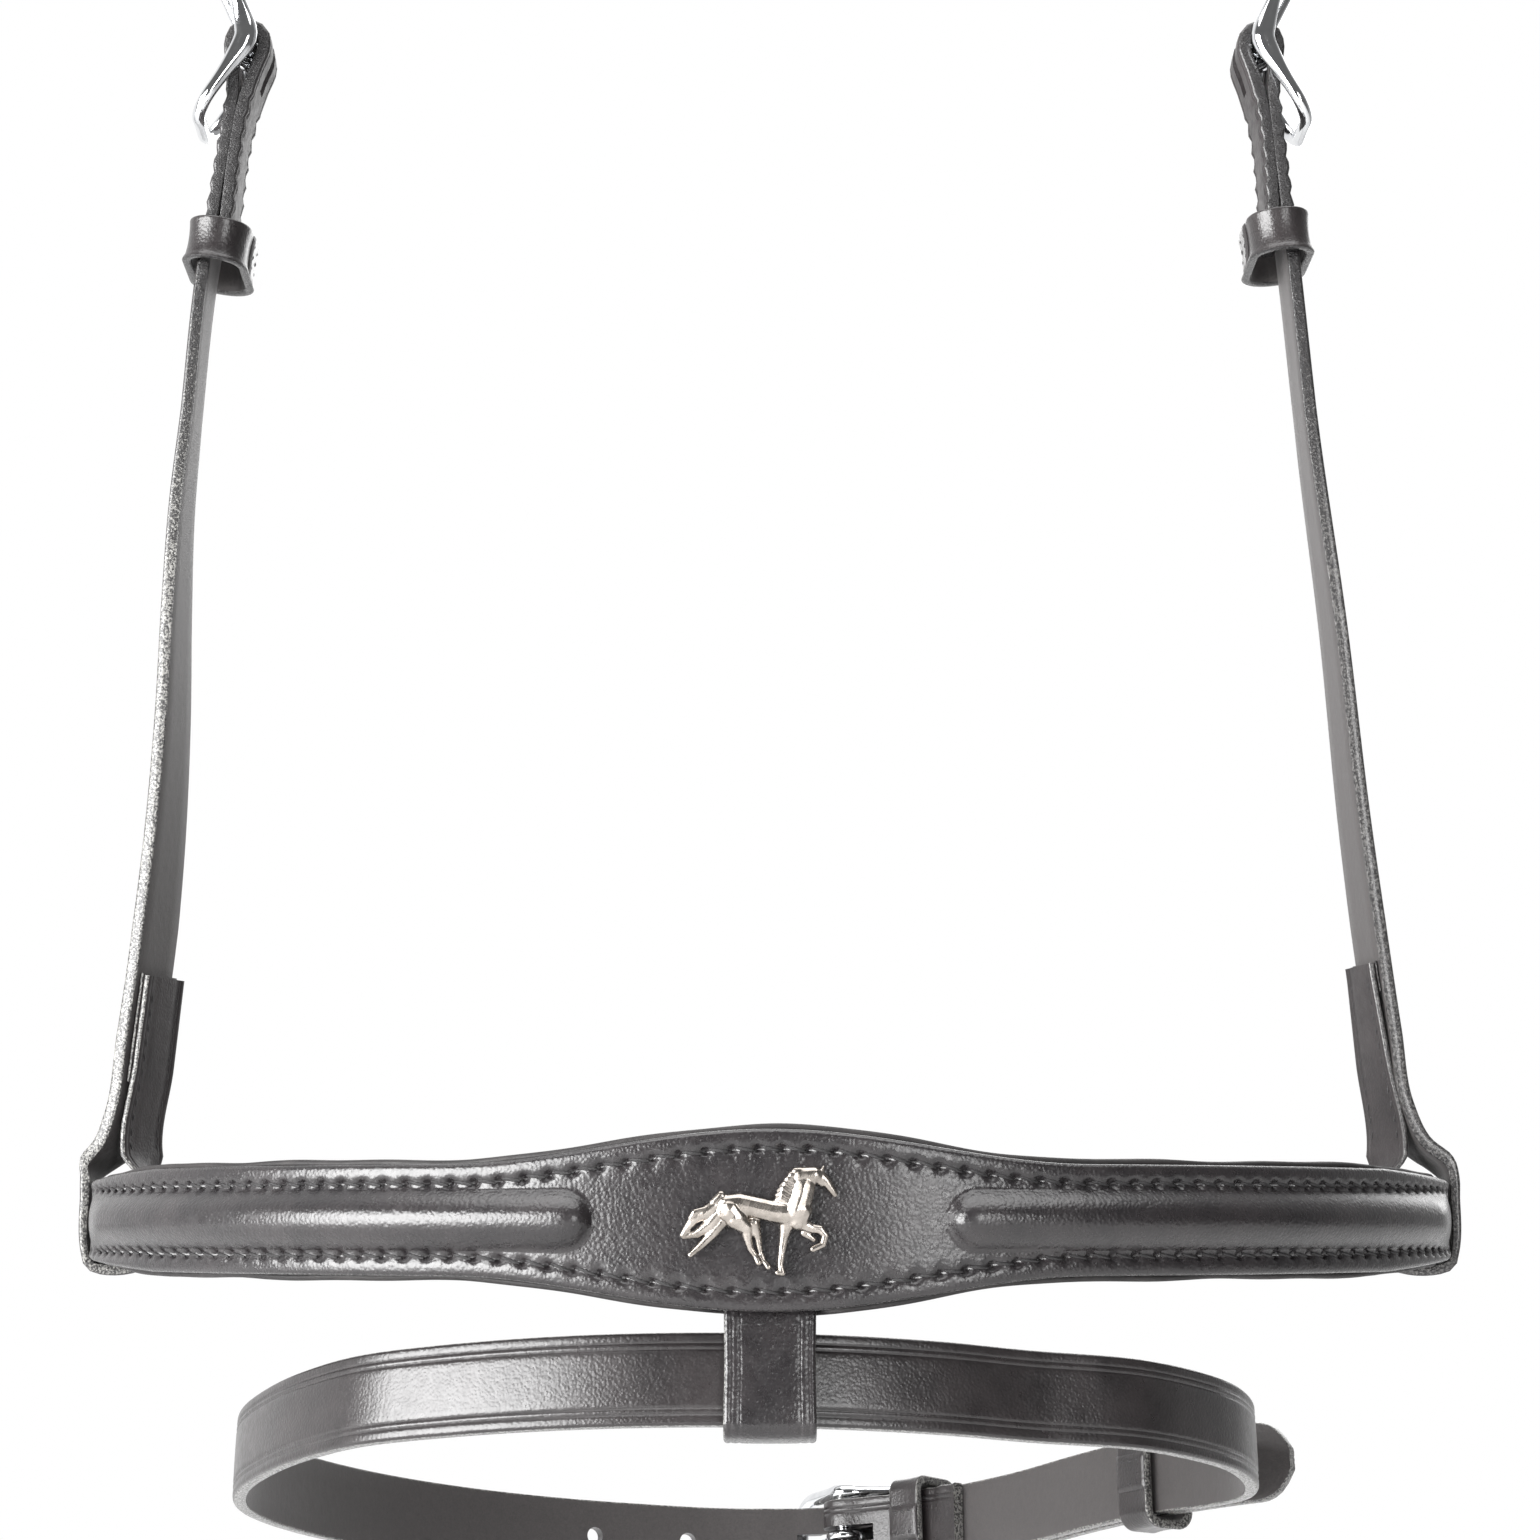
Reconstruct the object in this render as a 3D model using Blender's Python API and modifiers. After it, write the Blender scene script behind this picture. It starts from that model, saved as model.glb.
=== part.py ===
"""A bridle noseband with a flash strap, at real size in metres, +Z up.

The padded nose band curves back in the XY plane, with its front towards -Y. The origin is the middle of its
lining, where it lies on the nose. Two cheek straps rise from loops at its ends, each to a buckle and a
keeper. A tab under the front carries the flash strap, which droops to the rear, and two chin straps close the
nose band behind.
"""

import math

import bmesh
import bpy
from mathutils import Matrix, Vector

MM = 0.001
GAP = 0.3 * MM

# The closed ring that the nose band and the chin straps follow, along the inner face of the lining.
FRONT_FLAT = 4 * MM
FRONT_RADIUS = 105 * MM
FRONT_TURN = math.radians(66)
SIDE_RADIUS = 20 * MM
SIDE_TURN = math.radians(18)
STRAP_WIDTH = 12.5 * MM
LOOP_LENGTH = STRAP_WIDTH + 1 * MM

# Layers of the nose band, outwards from the nose.
LINING = 1.0 * MM
MIDDLE = 2.4 * MM
PANEL = 2.0 * MM
MIDDLE_AT = LINING + GAP + MIDDLE / 2
PANEL_AT = LINING + MIDDLE + 2 * GAP + PANEL / 2
PANEL_FACE = PANEL_AT + PANEL / 2

# Half heights of the nose band's lining at the front, beside the swell and in the cheek loops.
HALF_FRONT = 12.9 * MM
HALF_BESIDE = 8.3 * MM
HALF_END = 6.8 * MM
SWELL_REACH = 43 * MM
TAPER_FROM = 100 * MM
PANEL_INSET = 0.7 * MM
PADDING_INSET = 1.3 * MM

# The two raised rolls under the panel.
ROLL_HALF = 3.8 * MM
ROLL_RISE = 2.7 * MM
ROLL_FROM = 23.8 * MM
ROLL_TO = 128.5 * MM
ROLL_END = 5 * MM
ROLL_FADE_FROM = 113 * MM
ROLL_FLATTER = 0.8

# Straps, their folds round a buckle bar, and the buckles.
STRAP = 2.2 * MM
LAP = 1.0 * MM
CHIN_STRAP = MIDDLE
BAR_RADIUS = 1.3 * MM
FOLD_CLEARANCE = 0.45 * MM
LAP_LENGTH = 27 * MM
WIRE_RADIUS = 1.15 * MM
FRAME_HALF_WIDTH = 7.9 * MM
CHEEK_FRAME = (14.2 * MM, 6.2 * MM)
REAR_FRAME = (11.6 * MM, 7.2 * MM)
TONGUE_RADIUS = 1.0 * MM
EYE_RADIUS = 2.45 * MM
EYE_WIRE = 0.85 * MM
HOLE_RADIUS = 1.5 * MM
KEEPER_WALL = 1.6 * MM
KEEPER_HEIGHT = 7.3 * MM

# Cheek straps: how far out the bar sits, how the upper stretch leans, and then the strap's middle line, as
# distances out from the object's middle and heights, down to where it opens round the band.
CHEEK_BAR_HEIGHT = 197.5 * MM
CHEEK_BAR_OUT = {"left": 88.8 * MM, "right": 83.4 * MM}
CHEEK_LEAN = {"left": math.radians(7.4), "right": math.radians(4.9)}
CHEEK_STRAIGHT = 42 * MM
CHEEK_LINE = {
    "left": [(97.2, 132), (98.2, 118), (98.6, 100), (98.7, 82), (99.6, 59), (101.3, 39), (102.5, 29)],
    "right": [(90.4, 128.5), (93.5, 98), (96.3, 63), (98.6, 41), (99.9, 30), (101.4, 18.5)],
}
CHEEK_FLARE = {
    "left": [(-6.1, 17), (-4.3, 11.9), (-1.3, 8.4), (-0.5, 6.8)],
    "right": [(-6.1, 12.6), (-1.5, 8.5), (-0.5, 6.8)],
}
CHEEK_LAP_LENGTH = 34 * MM
CHEEK_TWIST = {"left": math.radians(2), "right": math.radians(4)}
CHEEK_LOW_TWIST = {"left": math.radians(22), "right": math.radians(13)}
FILLER = {"left": 0.6 * MM, "right": 0.35 * MM}
FILLER_FROM = {"left": 22 * MM, "right": 36.5 * MM}
LOOP_CLEAR = 0.7 * MM
LOOP_CLEAR_OUTSIDE = 0.5 * MM
LOOP_STRAP = 1.3 * MM
LOOP_CORNERS = (2.6 * MM, 2.2 * MM)
LOOP_WALL_FROM = 3.5 * MM
LOOP_WALL_TO = 4 * MM
LAPPED_TO = 43 * MM
LOOP_SHARES = [(-8, 1), (-2, 0.76), (8.6, 0.6), (12.7, 0.77), (16.5, 0.72), (22, 0.455)]
LAP_TWIST = {"left": math.radians(2), "right": math.radians(11)}
LAP_FOOT = {"left": (-0.9, 10.2), "right": (-2.6, 10.2)}
LOOP_CLEAR_INSIDE = {"left": 1.2 * MM, "right": 2.6 * MM}
LOOP_CLEAR_BELOW = 0.45 * MM
LOOP_HALF_BELOW = 0.85 * MM
KEEPER_DROP = {"left": 36.3 * MM, "right": 34.3 * MM}

# The flash strap: a loop through the tab, drooping to the rear. Its front is round, and the rest of its
# middle line runs through these points, as (sideways, rearwards in its plane, lifted out of it).
FLASH_ROUND = 86 * MM
FLASH_SIDEWAYS = -8 * MM
FLASH_DROOP = math.radians(13.8)
FLASH_RIGHT = [(52, 18, 0), (61, 26.7, 0), (67, 35.5, 0), (70.8, 45.5, 0), (73.2, 59, 0.4), (73.2, 72, 1.2)]
FLASH_RIGHT += [(69.6, 84, 2), (63.5, 94.5, 2.6), (53.8, 109.5, 2.4), (42, 126.5, 1.5), (29, 141, 1)]
FLASH_BAR = (14.0, 151.6, 0.5)
FLASH_LEFT = [(-3.6, 155.3, 0), (-27, 148.6, 0), (-49, 135.3, 0), (-66.3, 117.3, 0), (-77.9, 96, 0)]
FLASH_LEFT += [(-82.3, 76, 0), (-80, 56.5, 0), (-74.5, 41.5, 0), (-66, 26, 0)]
FLASH_KEEPER_AT = 74 * MM
FLASH_TIP = [(77, 86.5, 3.0), (83.8, 82.5, 3.2)]
TAB = 1.5 * MM
TAB_PIVOT = Vector((0, -MIDDLE_AT, -12.3 * MM))
TAB_TOP = 0.9 * MM
TAB_INSIDE = 4.5 * MM
FLASH_BELOW_PIVOT = 2.4 * MM

# The chin straps' closure, behind on the right.
CHIN_BAR_TURN = math.radians(150)
CHIN_KEEPER_TURN = math.radians(124)
CHIN_TIP_TURN = math.radians(113)

# The horse on the front.
HORSE_LENGTH = 21.4 * MM
HORSE_MIDDLE = Vector((-1.5 * MM, 0, 0.2 * MM))
HORSE_THICKNESS = 1.6 * MM
PRONG_RADIUS = 0.5 * MM

LEATHER = (0.036, 0.031, 0.031)
LINING_LEATHER = (0.045, 0.038, 0.037)
FOAM = (0.09, 0.085, 0.08)
CORD = (0.12, 0.1, 0.08)
CHROME = (0.78, 0.79, 0.8)
NICKEL = (0.72, 0.66, 0.58)


def clear_scene():
    for old in list(bpy.data.objects):
        bpy.data.objects.remove(old)


def collection(name):
    made = bpy.data.collections.new(name)
    bpy.context.scene.collection.children.link(made)
    return made


def material(name, colour, roughness, metallic):
    made = bpy.data.materials.new(name)
    made.use_nodes = True
    shader = made.node_tree.nodes["Principled BSDF"]
    shader.inputs["Base Color"].default_value = (*colour, 1)
    shader.inputs["Roughness"].default_value = roughness
    shader.inputs["Metallic"].default_value = metallic
    return made


def add_part(name, mesh, finish, smooth_angle=35):
    part = bpy.data.objects.new(name, mesh)
    PARTS.objects.link(part)
    mesh.materials.clear()
    mesh.materials.append(finish)
    mesh.shade_smooth()
    mesh.set_sharp_from_angle(angle=math.radians(smooth_angle))
    return part


def add_cutter(name, mesh):
    cutter = bpy.data.objects.new(name, mesh)
    CUTTERS.objects.link(cutter)
    cutter.hide_render = True
    cutter.display_type = "WIRE"
    return cutter


def combine(part, other, operation):
    """Cut or join part with other, which is a cutter."""
    boolean = part.modifiers.new(operation.lower() + " " + other.name, "BOOLEAN")
    boolean.object = other
    boolean.operation = operation
    boolean.solver = "EXACT"


def smooth_path(points, step):
    """Points about a step apart on a smooth curve through the given ones."""
    points = [Vector(point) for point in points]
    lengths = [(b - a).length for a, b in zip(points, points[1:])]
    slopes = [(b - a) / length for a, b, length in zip(points, points[1:], lengths)]
    tangents = [slopes[0]]
    for i in range(1, len(points) - 1):
        before, after = lengths[i - 1], lengths[i]
        tangents.append((slopes[i] * before + slopes[i - 1] * after) / (before + after))
    tangents.append(slopes[-1])
    path = []
    for i, length in enumerate(lengths):
        count = max(1, round(length / step))
        for k in range(count):
            t = k / count
            path.append(
                points[i] * (2 * t**3 - 3 * t**2 + 1)
                + tangents[i] * length * (t**3 - 2 * t**2 + t)
                + points[i + 1] * (3 * t**2 - 2 * t**3)
                + tangents[i + 1] * length * (t**3 - t**2)
            )
    path.append(points[-1])
    return path


def skin(name, rows, thickness, finish, shares=None):
    """A leather piece: an open grid laid over rows of points, with its thickness from Solidify.

    Shares, one a row, thin it where they are less than one."""
    across = len(rows[0]) - 1
    mesh = bpy.data.meshes.new(name)
    grid = bmesh.new()
    bmesh.ops.create_grid(grid, x_segments=len(rows) - 1, y_segments=across, size=0.5)
    for vert in grid.verts:
        row = round((vert.co.x + 0.5) * (len(rows) - 1))
        column = round((vert.co.y + 0.5) * across)
        vert.co = rows[row][column]
    grid.to_mesh(mesh)
    grid.free()
    part = add_part(name, mesh, finish)
    solid = part.modifiers.new("leather thickness", "SOLIDIFY")
    solid.thickness = thickness
    solid.offset = 0
    solid.use_even_offset = True
    if shares:
        group = part.vertex_groups.new(name="thickness")
        for vert in mesh.vertices:
            nearest = min(range(len(rows)), key=lambda i: min((vert.co - point).length for point in rows[i]))
            group.add([vert.index], shares[nearest], "REPLACE")
        solid.vertex_group = group.name
    return part


def strip(name, stations, thickness, finish, shares=None):
    """A strap through stations, each a centre, a unit vector across it, and its half width there."""
    rows = [[centre - across * half, centre + across * half] for centre, across, half in stations]
    return skin(name, rows, thickness, finish, shares)


def rounded_end(distance_to_end, half_width):
    """The half width of a strap whose end is rounded."""
    reach = half_width * 0.9
    if distance_to_end >= reach:
        return half_width
    inside = 1 - max(0, distance_to_end) / reach
    return half_width * max(0.3, math.sqrt(1 - inside * inside))


def closed_tube(name, centres, radius, finish, sides=2):
    """A wire bent to a closed path."""
    curve = bpy.data.curves.new(name, "CURVE")
    curve.dimensions = "3D"
    curve.bevel_depth = radius
    curve.bevel_resolution = sides
    spline = curve.splines.new("POLY")
    spline.points.add(len(centres) - 1)
    for point, centre in zip(spline.points, centres):
        point.co = (*centre, 1)
    spline.use_cyclic_u = True
    wire = bpy.data.objects.new(name + " wire", curve)
    PARTS.objects.link(wire)
    mesh = bpy.data.meshes.new_from_object(wire.evaluated_get(bpy.context.evaluated_depsgraph_get()))
    bpy.data.objects.remove(wire)
    mesh.name = name
    return add_part(name, mesh, finish)


def cylinder_mesh(name, radius, length, sides=12, far_radius=None):
    """A cylinder or cone along Z, centred on the origin."""
    mesh = bpy.data.meshes.new(name)
    solid = bmesh.new()
    bmesh.ops.create_cone(
        solid,
        cap_ends=True,
        segments=sides,
        radius1=radius,
        radius2=radius if far_radius is None else far_radius,
        depth=length,
    )
    solid.to_mesh(mesh)
    solid.free()
    return mesh


def box_mesh(name, size):
    mesh = bpy.data.meshes.new(name)
    solid = bmesh.new()
    bmesh.ops.create_cube(solid, size=1)
    bmesh.ops.scale(solid, vec=size, verts=solid.verts)
    solid.to_mesh(mesh)
    solid.free()
    return mesh


def along(direction, origin):
    """A matrix that turns Z to a direction and moves to an origin."""
    return Matrix.Translation(origin) @ direction.to_track_quat("Z", "Y").to_matrix().to_4x4()


def frame_matrix(outward, onward, origin):
    """A matrix with X outwards from a strap, Z onwards along it and Y across it."""
    onward = onward.normalized()
    across = onward.cross(outward).normalized()
    outward = across.cross(onward)
    turn = Matrix((outward, across, onward)).transposed().to_4x4()
    return Matrix.Translation(origin) @ turn


def ring_arcs():
    """The ring's right half as (length, radius) stretches, from the front middle to the rear middle."""
    front = FRONT_RADIUS * FRONT_TURN
    at_loop = FRONT_TURN + SIDE_TURN
    behind = at_loop + SIDE_TURN
    side_x = (
        FRONT_FLAT
        + FRONT_RADIUS * math.sin(FRONT_TURN)
        + SIDE_RADIUS * (math.sin(behind) - math.sin(FRONT_TURN))
        + LOOP_LENGTH * math.cos(at_loop)
    )
    rear_radius = side_x / math.sin(behind)
    side = SIDE_RADIUS * SIDE_TURN
    return [
        (FRONT_FLAT, None),
        (front, FRONT_RADIUS),
        (side, SIDE_RADIUS),
        (LOOP_LENGTH, None),
        (side, SIDE_RADIUS),
        (rear_radius * (math.pi - behind), rear_radius),
    ]


def ring_place(distance, outward=0.0, height=0.0):
    """The point and heading at a distance along the ring from the front middle, positive to the right."""
    around = 2 * RING_HALF
    distance = (distance + RING_HALF) % around - RING_HALF
    side = -1 if distance < 0 else 1
    left = abs(distance)
    x = y = heading = 0.0
    for length, radius in RING_ARCS:
        run = min(left, length)
        if radius is None:
            x += run * math.cos(heading)
            y += run * math.sin(heading)
        else:
            turn = run / radius
            x += radius * (math.sin(heading + turn) - math.sin(heading))
            y += radius * (math.cos(heading) - math.cos(heading + turn))
            heading += turn
        left -= run
        if left <= 0:
            break
    x += outward * math.sin(heading)
    y -= outward * math.cos(heading)
    return Vector((side * x, y, height)), side, heading


def ring_outward(distance):
    _, side, heading = ring_place(distance)
    return Vector((side * math.sin(heading), -math.cos(heading), 0))


def ring_distance(turn):
    """How far along the right side the ring has turned this much."""
    travelled = 0.0
    turned = 0.0
    for length, radius in RING_ARCS:
        if radius is not None:
            if turned + length / radius >= turn:
                return travelled + (turn - turned) * radius
            turned += length / radius
        travelled += length
    return travelled


def band_half_height(distance):
    """The lining's half height: a swell at the front, then nearly even, and narrow in the cheek loops."""
    reach = min(1, abs(distance) / SWELL_REACH)
    swell = 0.5 + 0.5 * math.cos(math.pi * reach)
    half = HALF_BESIDE + (HALF_FRONT - HALF_BESIDE) * swell
    past = max(0, abs(distance) - TAPER_FROM) / (LOOP_FRONT - TAPER_FROM)
    return half + (HALF_END - HALF_BESIDE) * min(1, past)


def band_distances(end):
    """Where the nose band's sections lie: even steps at the front, shorter ones in the tight turn."""
    steps = 17
    bend = LOOP_FRONT - SIDE_RADIUS * SIDE_TURN
    right = [FRONT_FLAT + (bend - FRONT_FLAT) * i / steps for i in range(steps + 1)]
    right += [(bend + LOOP_FRONT) / 2, LOOP_FRONT, LOOP_FRONT + LOOP_LENGTH, BAND_END]
    right = [d for d in right if d < end - 0.1 * MM] + [end]
    return [-d for d in reversed(right)] + right


def roll_fade(distance):
    """The share of its height that the roll keeps: the cheek strap's loop holds its far end down."""
    return 1 - ROLL_FLATTER * min(1, max(0, (distance - ROLL_FADE_FROM) / (ROLL_TO - ROLL_FADE_FROM)))


def roll_rise(distance, height):
    """How far the panel is raised over the roll, at a distance along it and a height."""
    along_it = abs(distance)
    inside = min(along_it - ROLL_FROM, ROLL_TO - along_it)
    if inside <= 0:
        return 0.0
    end = min(1, inside / ROLL_END)
    end = math.sqrt(1 - (1 - end) ** 2)
    across = abs(height) / ROLL_HALF
    if across >= 1:
        return 0.0
    return ROLL_RISE * end * roll_fade(along_it) * math.sqrt(1 - across * across)


def nose_panel():
    roll_ends = (ROLL_FROM, ROLL_FROM + 1.5 * MM, ROLL_FADE_FROM, ROLL_TO - 1.5 * MM, ROLL_TO)
    distances = sorted(set(band_distances(BAND_END)) | {side * d for side in (-1, 1) for d in roll_ends})
    roll_columns = [-1, -0.93, -0.7, -0.35, 0, 0.35, 0.7, 0.93, 1]
    rows = []
    for distance in distances:
        half = band_half_height(distance) - PANEL_INSET
        heights = [-half] + [ROLL_HALF * c for c in roll_columns] + [half]
        rows.append([ring_place(distance, PANEL_AT + roll_rise(distance, z), z)[0] for z in heights])
    panel = skin("nose_panel", rows, PANEL, LEATHER_FINISH)
    for i, place in enumerate(prong_places()):
        hole = add_cutter(f"prong hole {i}", cylinder_mesh("prong hole", PRONG_RADIUS + GAP, 6 * MM, 8))
        hole.matrix_world = along(Vector((0, -1, 0)), Vector((place.x, -PANEL_AT, place.z)))
        combine(panel, hole, "DIFFERENCE")
    return panel


def nose_lining():
    rows = []
    for distance in band_distances(BAND_END):
        half = band_half_height(distance)
        rows.append([ring_place(distance, LINING / 2, z)[0] for z in (-half, half)])
    return skin("nose_lining", rows, LINING, LINING_FINISH)


def nose_padding():
    rows = []
    for distance in band_distances(PADDING_END):
        half = band_half_height(distance) - PADDING_INSET
        rows.append([ring_place(distance, MIDDLE_AT, z)[0] for z in (-half, half)])
    padding = skin("nose_padding", rows, MIDDLE, FOAM_FINISH)
    notch = add_cutter("tab notch", box_mesh("tab notch", (STRAP_WIDTH + 1.4 * MM, 8 * MM, 4 * MM)))
    notch.location = (0, -MIDDLE_AT, TAB_PIVOT.z - 0.6 * MM)
    combine(padding, notch, "DIFFERENCE")
    for i, place in enumerate(prong_places()):
        pocket = add_cutter(f"prong pocket {i}", cylinder_mesh("prong pocket", PRONG_RADIUS + GAP, 6 * MM, 8))
        pocket.matrix_world = along(Vector((0, -1, 0)), Vector((place.x, -MIDDLE_AT, place.z)))
        combine(padding, pocket, "DIFFERENCE")
    return padding


def roll_core(name, side):
    """The cord under one raised roll: half round, with rounded ends, lofted along the band."""
    under = PANEL_AT - PANEL / 2 + 0.1 * MM
    count = 22
    columns = 8
    inset = 2.6 * GAP + PANEL / 2
    first = ROLL_FROM + 2.2 * MM
    last = ROLL_TO - 9 * MM
    mesh = bpy.data.meshes.new(name)
    grid = bmesh.new()
    bmesh.ops.create_grid(grid, x_segments=count, y_segments=columns, size=0.5)
    for vert in grid.verts:
        row = round((vert.co.x + 0.5) * count)
        column = round((vert.co.y + 0.5) * columns)
        distance = first + (last - first) * row / count
        near_end = min(distance - first, last - distance) / ROLL_END
        end = math.sqrt(max(0.08, 1 - (1 - min(1, near_end)) ** 2))
        angle = 2 * math.pi * column / columns
        height = (ROLL_HALF - inset) * end * math.cos(angle)
        rise = (ROLL_RISE - GAP) * end * roll_fade(distance) * max(0, math.sin(angle))
        vert.co = ring_place(side * distance, under + rise, height)[0]
        if math.sin(angle) < -0.01:
            vert.co = ring_place(side * distance, under, height)[0]
    bmesh.ops.remove_doubles(grid, verts=grid.verts, dist=0.00001)
    rims = [edge for edge in grid.edges if edge.is_boundary]
    bmesh.ops.holes_fill(grid, edges=rims, sides=columns)
    bmesh.ops.recalc_face_normals(grid, faces=grid.faces)
    grid.to_mesh(mesh)
    grid.free()
    return add_part(name, mesh, CORD_FINISH)


def prong_places():
    return [HORSE_MIDDLE + Vector((-3.2 * MM, 0, 0.6 * MM)), HORSE_MIDDLE + Vector((3.6 * MM, 0, 1.2 * MM))]


def horse_outline():
    """A walking horse seen from its side, as shares of its length, clockwise from the nose."""
    return [
        (0.488, 0.140), (0.470, 0.195), (0.438, 0.262), (0.410, 0.312), (0.388, 0.345),
        (0.366, 0.325), (0.330, 0.345), (0.285, 0.350), (0.236, 0.332), (0.190, 0.292),
        (0.146, 0.248), (0.114, 0.192), (0.094, 0.134), (0.040, 0.128), (-0.020, 0.145),
        (-0.120, 0.165), (-0.195, 0.158), (-0.237, 0.176), (-0.266, 0.152), (-0.285, 0.122),
        (-0.335, 0.076), (-0.385, 0.045), (-0.430, 0.028), (-0.455, -0.022), (-0.478, -0.075),
        (-0.500, -0.112), (-0.482, -0.136), (-0.440, -0.126), (-0.412, -0.152), (-0.448, -0.222),
        (-0.430, -0.246), (-0.385, -0.212), (-0.335, -0.162), (-0.275, -0.108), (-0.215, -0.062),
        (-0.155, -0.072), (-0.110, -0.100), (-0.095, -0.140), (-0.078, -0.195), (-0.045, -0.235),
        (-0.020, -0.288), (0.016, -0.292), (0.040, -0.316), (0.078, -0.320), (0.052, -0.262),
        (0.030, -0.205), (0.024, -0.130), (0.028, -0.066), (0.080, -0.024), (0.124, -0.052),
        (0.128, -0.124), (0.118, -0.210), (0.110, -0.286), (0.096, -0.340), (0.160, -0.358),
        (0.168, -0.305), (0.168, -0.220), (0.184, -0.132), (0.210, -0.078), (0.268, -0.086),
        (0.300, -0.140), (0.322, -0.208), (0.416, -0.192), (0.442, -0.122), (0.430, -0.070),
        (0.380, -0.038), (0.338, -0.028), (0.352, 0.030), (0.356, 0.090), (0.346, 0.150),
        (0.344, 0.196), (0.376, 0.200), (0.412, 0.186), (0.446, 0.142), (0.468, 0.126),
    ]  # fmt: skip


def horse_ornament():
    curve = bpy.data.curves.new("horse_ornament", "CURVE")
    curve.dimensions = "2D"
    curve.fill_mode = "BOTH"
    curve.extrude = HORSE_THICKNESS / 2 - 0.35 * MM
    curve.bevel_depth = 0.35 * MM
    curve.bevel_resolution = 1
    curve.offset = -0.25 * MM
    spline = curve.splines.new("POLY")
    outline = horse_outline()
    spline.points.add(len(outline) - 1)
    for point, (x, z) in zip(spline.points, outline):
        point.co = (x * HORSE_LENGTH, z * HORSE_LENGTH, 0, 1)
    spline.use_cyclic_u = True
    flat = bpy.data.objects.new("horse flat", curve)
    PARTS.objects.link(flat)
    mesh = bpy.data.meshes.new_from_object(flat.evaluated_get(bpy.context.evaluated_depsgraph_get()))
    bpy.data.objects.remove(flat)
    welded = bmesh.new()
    welded.from_mesh(mesh)
    bmesh.ops.remove_doubles(welded, verts=welded.verts, dist=0.00001)
    bmesh.ops.recalc_face_normals(welded, faces=welded.faces)
    welded.to_mesh(mesh)
    welded.free()
    mesh.name = "horse_ornament"
    horse = add_part("horse_ornament", mesh, NICKEL_FINISH)
    back = -(PANEL_FACE + GAP)
    horse.matrix_world = Matrix.Translation(
        HORSE_MIDDLE + Vector((0, back - HORSE_THICKNESS / 2, 0))
    ) @ Matrix.Rotation(math.pi / 2, 4, "X")
    reach = PANEL_FACE + GAP - MIDDLE_AT
    for i, place in enumerate(prong_places()):
        prong = add_cutter(f"prong {i}", cylinder_mesh("prong", PRONG_RADIUS, reach + 0.6 * MM, 8))
        prong.matrix_world = along(
            Vector((0, -1, 0)), Vector((place.x, back + reach / 2 - 0.3 * MM, place.z))
        )
        combine(horse, prong, "UNION")
    return horse


def fold_points(thickness, lap_length, half_layers):
    """The lapped end of a strap folded round a bar, as (distance from the bar, outward) points."""
    radius = BAR_RADIUS + FOLD_CLEARANCE + thickness / 2
    arc = [math.radians(angle) for angle in range(-90, 91, 30)]
    around = [(-radius * math.cos(a), radius * math.sin(a)) for a in arc]
    lap = [(lap_length, -half_layers), (9 * MM, -half_layers), (4.5 * MM, -0.5 * (radius + half_layers))]
    main = [(4.5 * MM, 0.5 * (radius + half_layers)), (9 * MM, half_layers), (14 * MM, half_layers)]
    main += [(LAP_LENGTH, half_layers)]
    return [Vector((a, n)) for a, n in lap + around + main]


def over_bar(thickness, half_layers):
    """How a buckled strap rises over the bar and lies on the other strap, as (distance, outward) points."""
    fold_top = BAR_RADIUS + FOLD_CLEARANCE + thickness
    crest = fold_top + 0.4 * MM + thickness / 2
    resting = half_layers + thickness + GAP
    return [
        Vector((-40 * MM, half_layers)),
        Vector((-26 * MM, half_layers)),
        Vector((-16 * MM, half_layers + 0.8 * MM)),
        Vector((-7 * MM, crest - 0.8 * MM)),
        Vector((0, crest)),
        Vector((7 * MM, resting + 0.7 * MM)),
        Vector((14 * MM, resting)),
        Vector((24 * MM, resting)),
    ]


def tongue_tip(frame):
    """The tongue's tip, as (onward, outward) from the bar; the stem just clears the frame's far end."""
    half_length, set_back = frame
    reach = math.hypot(half_length, set_back)
    rise = math.atan2(set_back, half_length)
    rise += math.asin((WIRE_RADIUS + TONGUE_RADIUS + GAP) / reach)
    return Vector((math.cos(rise), math.sin(rise))) * (reach + 1.2 * MM)


def buckle_frame(name, matrix, frame):
    """A whole buckle: rounded wire frame, its side rails bent back to the bar across its middle."""
    corner = 3.6 * MM
    half_w = FRAME_HALF_WIDTH
    half_l, ends_back = frame
    outline = []
    for sign_w, sign_l, start in ((1, 1, 0), (-1, 1, 90), (-1, -1, 180), (1, -1, 270)):
        for angle in range(0, 91, 30):
            a = math.radians(start + angle)
            w = sign_w * (half_w - corner) + corner * math.cos(a)
            outline.append((w, sign_l * (half_l - corner) + corner * math.sin(a)))
        if sign_w * sign_l < 0:
            rail = [0.58, 0.42, 0.27, 0.1, -0.1, -0.27, -0.42, -0.58]
            outline += [(sign_w * half_w, sign_l * share * half_l) for share in rail]
    centres = []
    for w, u in outline:
        share = abs(u) / half_l
        set_back = ends_back * (math.sqrt(share * share + 0.01) - 0.1) / 0.905
        centres.append(matrix @ Vector((set_back, w, u)))
    wire = closed_tube(name, centres, WIRE_RADIUS, CHROME_FINISH, 1)
    bar = add_cutter(name + " bar", cylinder_mesh("bar", BAR_RADIUS, 2 * half_w, 10))
    bar.matrix_world = matrix @ Matrix.Rotation(math.pi / 2, 4, "X")
    combine(wire, bar, "UNION")
    return wire


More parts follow.
